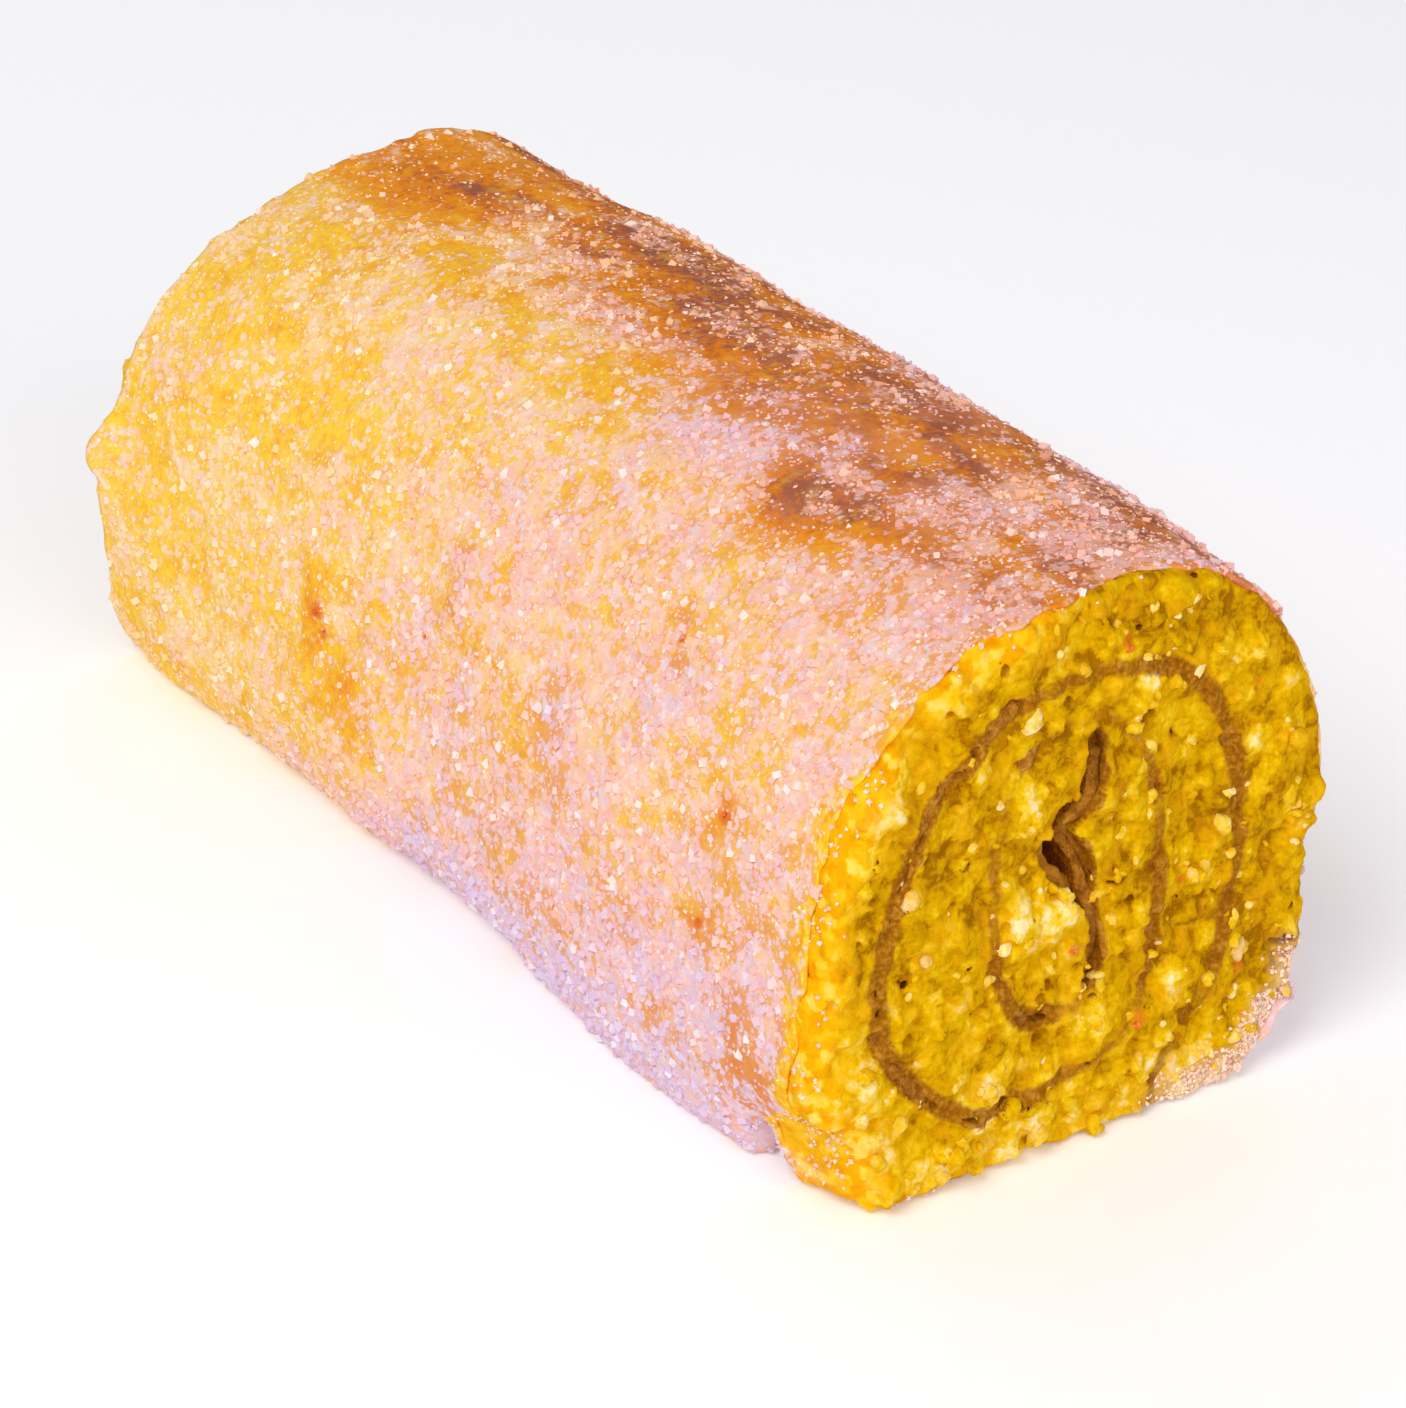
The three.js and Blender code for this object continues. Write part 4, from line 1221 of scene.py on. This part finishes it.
def sugar_dust(looks):
    """The painted sugar: its colour, and where it covers the skin."""
    clumps = looks.rise(looks.noise(3.4, 3, 0.6), 0.36, 0.64)
    motes = looks.rise(looks.noise(1.5, 2), 0.36, 0.64)
    drifting = looks.rise(looks.noise(2.6, 3, 0.6), 0.34, 0.66)
    cover = looks.total(looks.attribute("sugar"), (clumps, 0.42), (motes, 0.3), -0.36)
    large, large_shade = looks.grains(1.7, looks.times(cover, 0.9))
    small, small_shade = looks.grains(0.95, cover)
    hue = looks.total(looks.attribute("cool"), (drifting, 0.75), (large_shade, 0.45), -0.6)
    pale = looks.total((large_shade, 0.6), (small_shade, 0.45), -0.36)
    dust = looks.mix(pale, looks.ramp(hue, DUST_COLOURS), "FCF2F6")
    warmth = looks.total((looks.attribute("tone"), 0.75), (hue, -0.3))
    dust = looks.mix(warmth, dust, "E89C84")
    grains = looks.math("MAXIMUM", looks.times(large, 0.85), looks.times(small, 0.55))
    crust = looks.rise(looks.total(looks.noise(1.9, 3, 0.6), (cover, 0.55)), 0.66, 0.9)
    film = looks.times(looks.rise(looks.attribute("sugar"), 0.1, 0.8), 0.2)
    crusted = looks.math("MAXIMUM", looks.times(crust, 0.75), film)
    covered = looks.math("MAXIMUM", grains, crusted)
    return dust, covered


def skin_material():
    looks = Looks("sugared_skin")
    mottle = looks.noise(1.5, 3, 0.6)
    fine = looks.noise(0.5, 2)
    dust, covered = sugar_dust(looks)
    colour = looks.mix(covered, skin_colour(looks, mottle, fine), dust)
    stain = looks.rise(looks.total(looks.attribute("zest"), (looks.swing(mottle), 0.7)), 0.3, 0.8)
    colour = looks.mix(looks.times(stain, 0.85), colour, "E0702A")
    looks.bump(looks.total((covered, 0.9), (fine, 0.5)), 0.22, 0.6)
    return looks.finish(colour, looks.total(0.6, (mottle, 0.3)), Specular_IOR_Level=0.12)


def crumb_material():
    looks = Looks("sponge_crumb")
    clots = looks.noise(2.0, 3, 0.6)
    fine = looks.noise(0.75, 2)
    own = looks.total((looks.attribute("clot"), 0.45), (looks.attribute("fine_clot"), 0.28))
    light = looks.total((looks.swing(clots), 0.8), (looks.swing(fine), 0.6), own)
    light = looks.total(light, (looks.attribute("pale"), 0.35), (looks.attribute("lit"), 0.36), -0.06)
    # Painted shade in the pits and in the creases between clots
    dark = looks.total((looks.attribute("pit_shade"), 0.35), (looks.attribute("crevice_shade"), 0.25))
    light = looks.math("SUBTRACT", light, dark)
    sponge = looks.ramp(light, [
        (0.0, "A06A02"), (0.2, "C69200"), (0.45, "DCA800"), (0.68, "ECC014"), (0.86, "F6D058"),
        (1.0, "FAE4AC"),
    ])
    orange = looks.rise(looks.math("PINGPONG", looks.times(looks.attribute("clot"), 7.0), 1.0), 0.6, 0.9)
    sponge = looks.mix(looks.times(orange, 0.35), sponge, "E0980C")
    # Painted light: the rim of the near cut is brightened with a paler, yellower ramp where the glow lies
    glow = looks.total(looks.attribute("glow"), (looks.swing(clots), 0.5))
    torn = looks.ramp(looks.total((looks.attribute("fine_clot"), 0.5), (clots, 0.5)), [
        (0.2, "EE9A04"), (0.44, "F4B006"), (0.62, "F8C41A"), (0.8, "FADC6C"),
    ])
    sponge = looks.mix(looks.times(looks.rise(glow, 0.2, 0.75), 0.85), sponge, torn)
    spread = looks.total(looks.attribute("soak"), (looks.swing(clots), 1.1))
    mixed = looks.total((fine, 0.6), (clots, 0.4))
    brown = looks.ramp(mixed, [(0.34, "824A06"), (0.5, "A0620E"), (0.64, "BC842C")])
    colour = looks.mix(looks.times(looks.rise(spread, 0.15, 0.75), 0.95), sponge, brown)
    # Painted light: the deep hollows are lifted to a brighter orange
    colour = looks.mix(looks.attribute("hollow_light"), colour, "F0A83C")
    stain = looks.rise(looks.total(looks.attribute("zest"), (looks.swing(clots), 0.7)), 0.35, 0.8)
    colour = looks.mix(looks.times(stain, 0.7), colour, "E07A1C")
    grains, shade = looks.grains(0.9, looks.attribute("frost"))
    frost = looks.math("MAXIMUM", grains, looks.times(looks.attribute("frost"), 0.6))
    colour = looks.mix(looks.times(frost, 0.8), colour, looks.mix(shade, "EAE2D6", "FCFAF4"))
    looks.bump(looks.total((fine, 0.6), (looks.noise(0.35, 2), 0.3), (clots, 0.3)), 0.4, 0.8)
    return looks.finish(colour, 1.0, Specular_IOR_Level=0.04)


def filling_material():
    looks = Looks("brown_filling")
    body = looks.noise(2.0, 3, 0.6)
    fine = looks.noise(0.6, 2)
    light = looks.total((body, 0.7), (fine, 0.3))
    colour = looks.ramp(light, [(0.34, "864C06"), (0.48, "A2640E"), (0.58, "BA7C20"), (0.7, "D09838")])
    looks.bump(looks.total(fine, (body, 2.0)), 0.7, 0.9)
    return looks.finish(colour, looks.total(0.6, (fine, 0.3)), Specular_IOR_Level=0.15)


def sugar_material():
    looks = Looks("sugar_grains")
    tint = looks.attribute("tint")
    cool = looks.total(looks.attribute("cool"), (looks.swing(looks.noise(2.2, 2)), 0.9))
    body = looks.ramp(cool, DUST_COLOURS)
    warm = looks.times(looks.attribute("tone"), looks.math("SUBTRACT", 1.0, tint))
    warm = looks.times(warm, looks.math("SUBTRACT", 1.2, cool))
    body = looks.mix(looks.times(warm, 0.95), body, "EC9C78")
    colour = looks.mix(looks.times(looks.math("POWER", tint, 5.0), 0.7), body, "FFF8F4")
    return looks.finish(colour, 0.6, Specular_IOR_Level=0.2)


def zest_material():
    looks = Looks("orange_zest")
    fine = looks.noise(0.6, 2)
    colour = looks.ramp(fine, [(0.3, "CC4C14"), (0.5, "E46A1C"), (0.7, "F09430")])
    looks.bump(fine, 0.2, 0.5)
    return looks.finish(colour, 0.6, Specular_IOR_Level=0.25)


# Stage, in metres

FLOOR = {"half": 6.0, "height": -0.02 * MM, "glow": 0.12}

# Soft round lights: name, direction from the roll, distance, size, watts and colour
LIGHTS = [
    ("key", (0.45, -0.8, 0.95), 1.5, 0.9, 11.9, (1.0, 0.99, 0.975)),
    ("fill", (1.0, 0.0, 0.4), 1.6, 1.3, 8, (1.0, 0.99, 0.98)),
    ("back", (-0.75, 0.9, 0.8), 1.6, 0.9, 2.2, (0.9, 0.9, 1.0)),
    ("far", (-1.0, -0.2, 0.5), 1.6, 1.2, 3.5, (1.0, 0.98, 0.96)),
]
LIGHT_AIM = Vector((0, 0, 0.04))
SURROUNDINGS = {"colour": (0.95, 0.95, 1.0, 1), "strength": 0.38}


def add_floor():
    mesh = bpy.data.meshes.new("floor")
    half, low = FLOOR["half"], FLOOR["height"]
    corners = [(-half, -half, low), (half, -half, low), (half, half, low), (-half, half, low)]
    mesh.from_pydata(corners, [], [(0, 1, 2, 3)])
    floor = bpy.data.objects.new("floor", mesh)
    bpy.context.scene.collection.objects.link(floor)
    looks = Looks("pale_floor")
    speck = looks.noise(4, 2)
    white = looks.mix(speck, "FAFAFB", "FDFDFE")
    looks.shader.inputs["Emission Color"].default_value = (1, 1, 1, 1)
    mesh.materials.append(looks.finish(white, 0.9, Specular_IOR_Level=0.1, Emission_Strength=FLOOR["glow"]))


def add_area_light(name, direction, distance, size, power, colour):
    data = bpy.data.lights.new(name, "AREA")
    data.shape = "DISK"
    data.size = size
    data.energy = power
    data.color = colour
    light = bpy.data.objects.new(name, data)
    bpy.context.scene.collection.objects.link(light)
    away = Vector(direction).normalized()
    light.location = away * distance + LIGHT_AIM
    light.rotation_mode = "QUATERNION"
    light.rotation_quaternion = away.to_track_quat("Z", "Y")


def add_lights():
    for light in LIGHTS:
        add_area_light(*light)
    world = bpy.data.worlds.new("studio")
    world.use_nodes = True
    background = world.node_tree.nodes["Background"]
    background.inputs["Color"].default_value = SURROUNDINGS["colour"]
    background.inputs["Strength"].default_value = SURROUNDINGS["strength"]
    bpy.context.scene.world = world


def add_camera():
    back, right = Vector(VIEW_BACK).normalized(), Vector(VIEW_RIGHT).normalized()
    up = back.cross(right)
    turn = math.radians(ROLL_DEGREES)
    rolled_right = math.cos(turn) * right + math.sin(turn) * up
    rolled_up = math.cos(turn) * up - math.sin(turn) * right
    data = bpy.data.cameras.new("photo_camera")
    data.sensor_width = SENSOR_MM
    data.lens = FOCAL_PIXELS / FRAME_PIXELS * SENSOR_MM
    camera = bpy.data.objects.new("photo_camera", data)
    bpy.context.scene.collection.objects.link(camera)
    turned = Matrix((rolled_right, rolled_up, back)).transposed().to_4x4()
    camera.matrix_world = Matrix.Translation(Vector(EYE) * MM) @ turned
    bpy.context.scene.camera = camera


def main():
    rng = np.random.default_rng(SEED)
    line = spiral_line(LINE_STEP["crumb"])
    grid, looks = make_skin(line, skin_material())
    crumb = crumb_material()
    cuts = (("crumb_near", 1), ("crumb_far", -1))
    crumbs_of = [make_crumb(name, side, line, crumb) for name, side in cuts]
    make_filling(spiral_line(LINE_STEP["filling"]), filling_material())
    normals = grid_normals(grid)
    sugar = sugar_material()
    for grains in SUGAR_GRAINS:
        make_sugar(grains, rng, grid, looks, normals, sugar)
    make_rim_sugar(rng, crumbs_of[0], sugar)
    make_crumbs(rng, crumbs_of, crumb)
    make_zest(rng, crumbs_of[0], grid, zest_material())
    add_floor()
    add_lights()
    add_camera()
    bpy.context.scene.view_settings.view_transform = "Standard"


main()
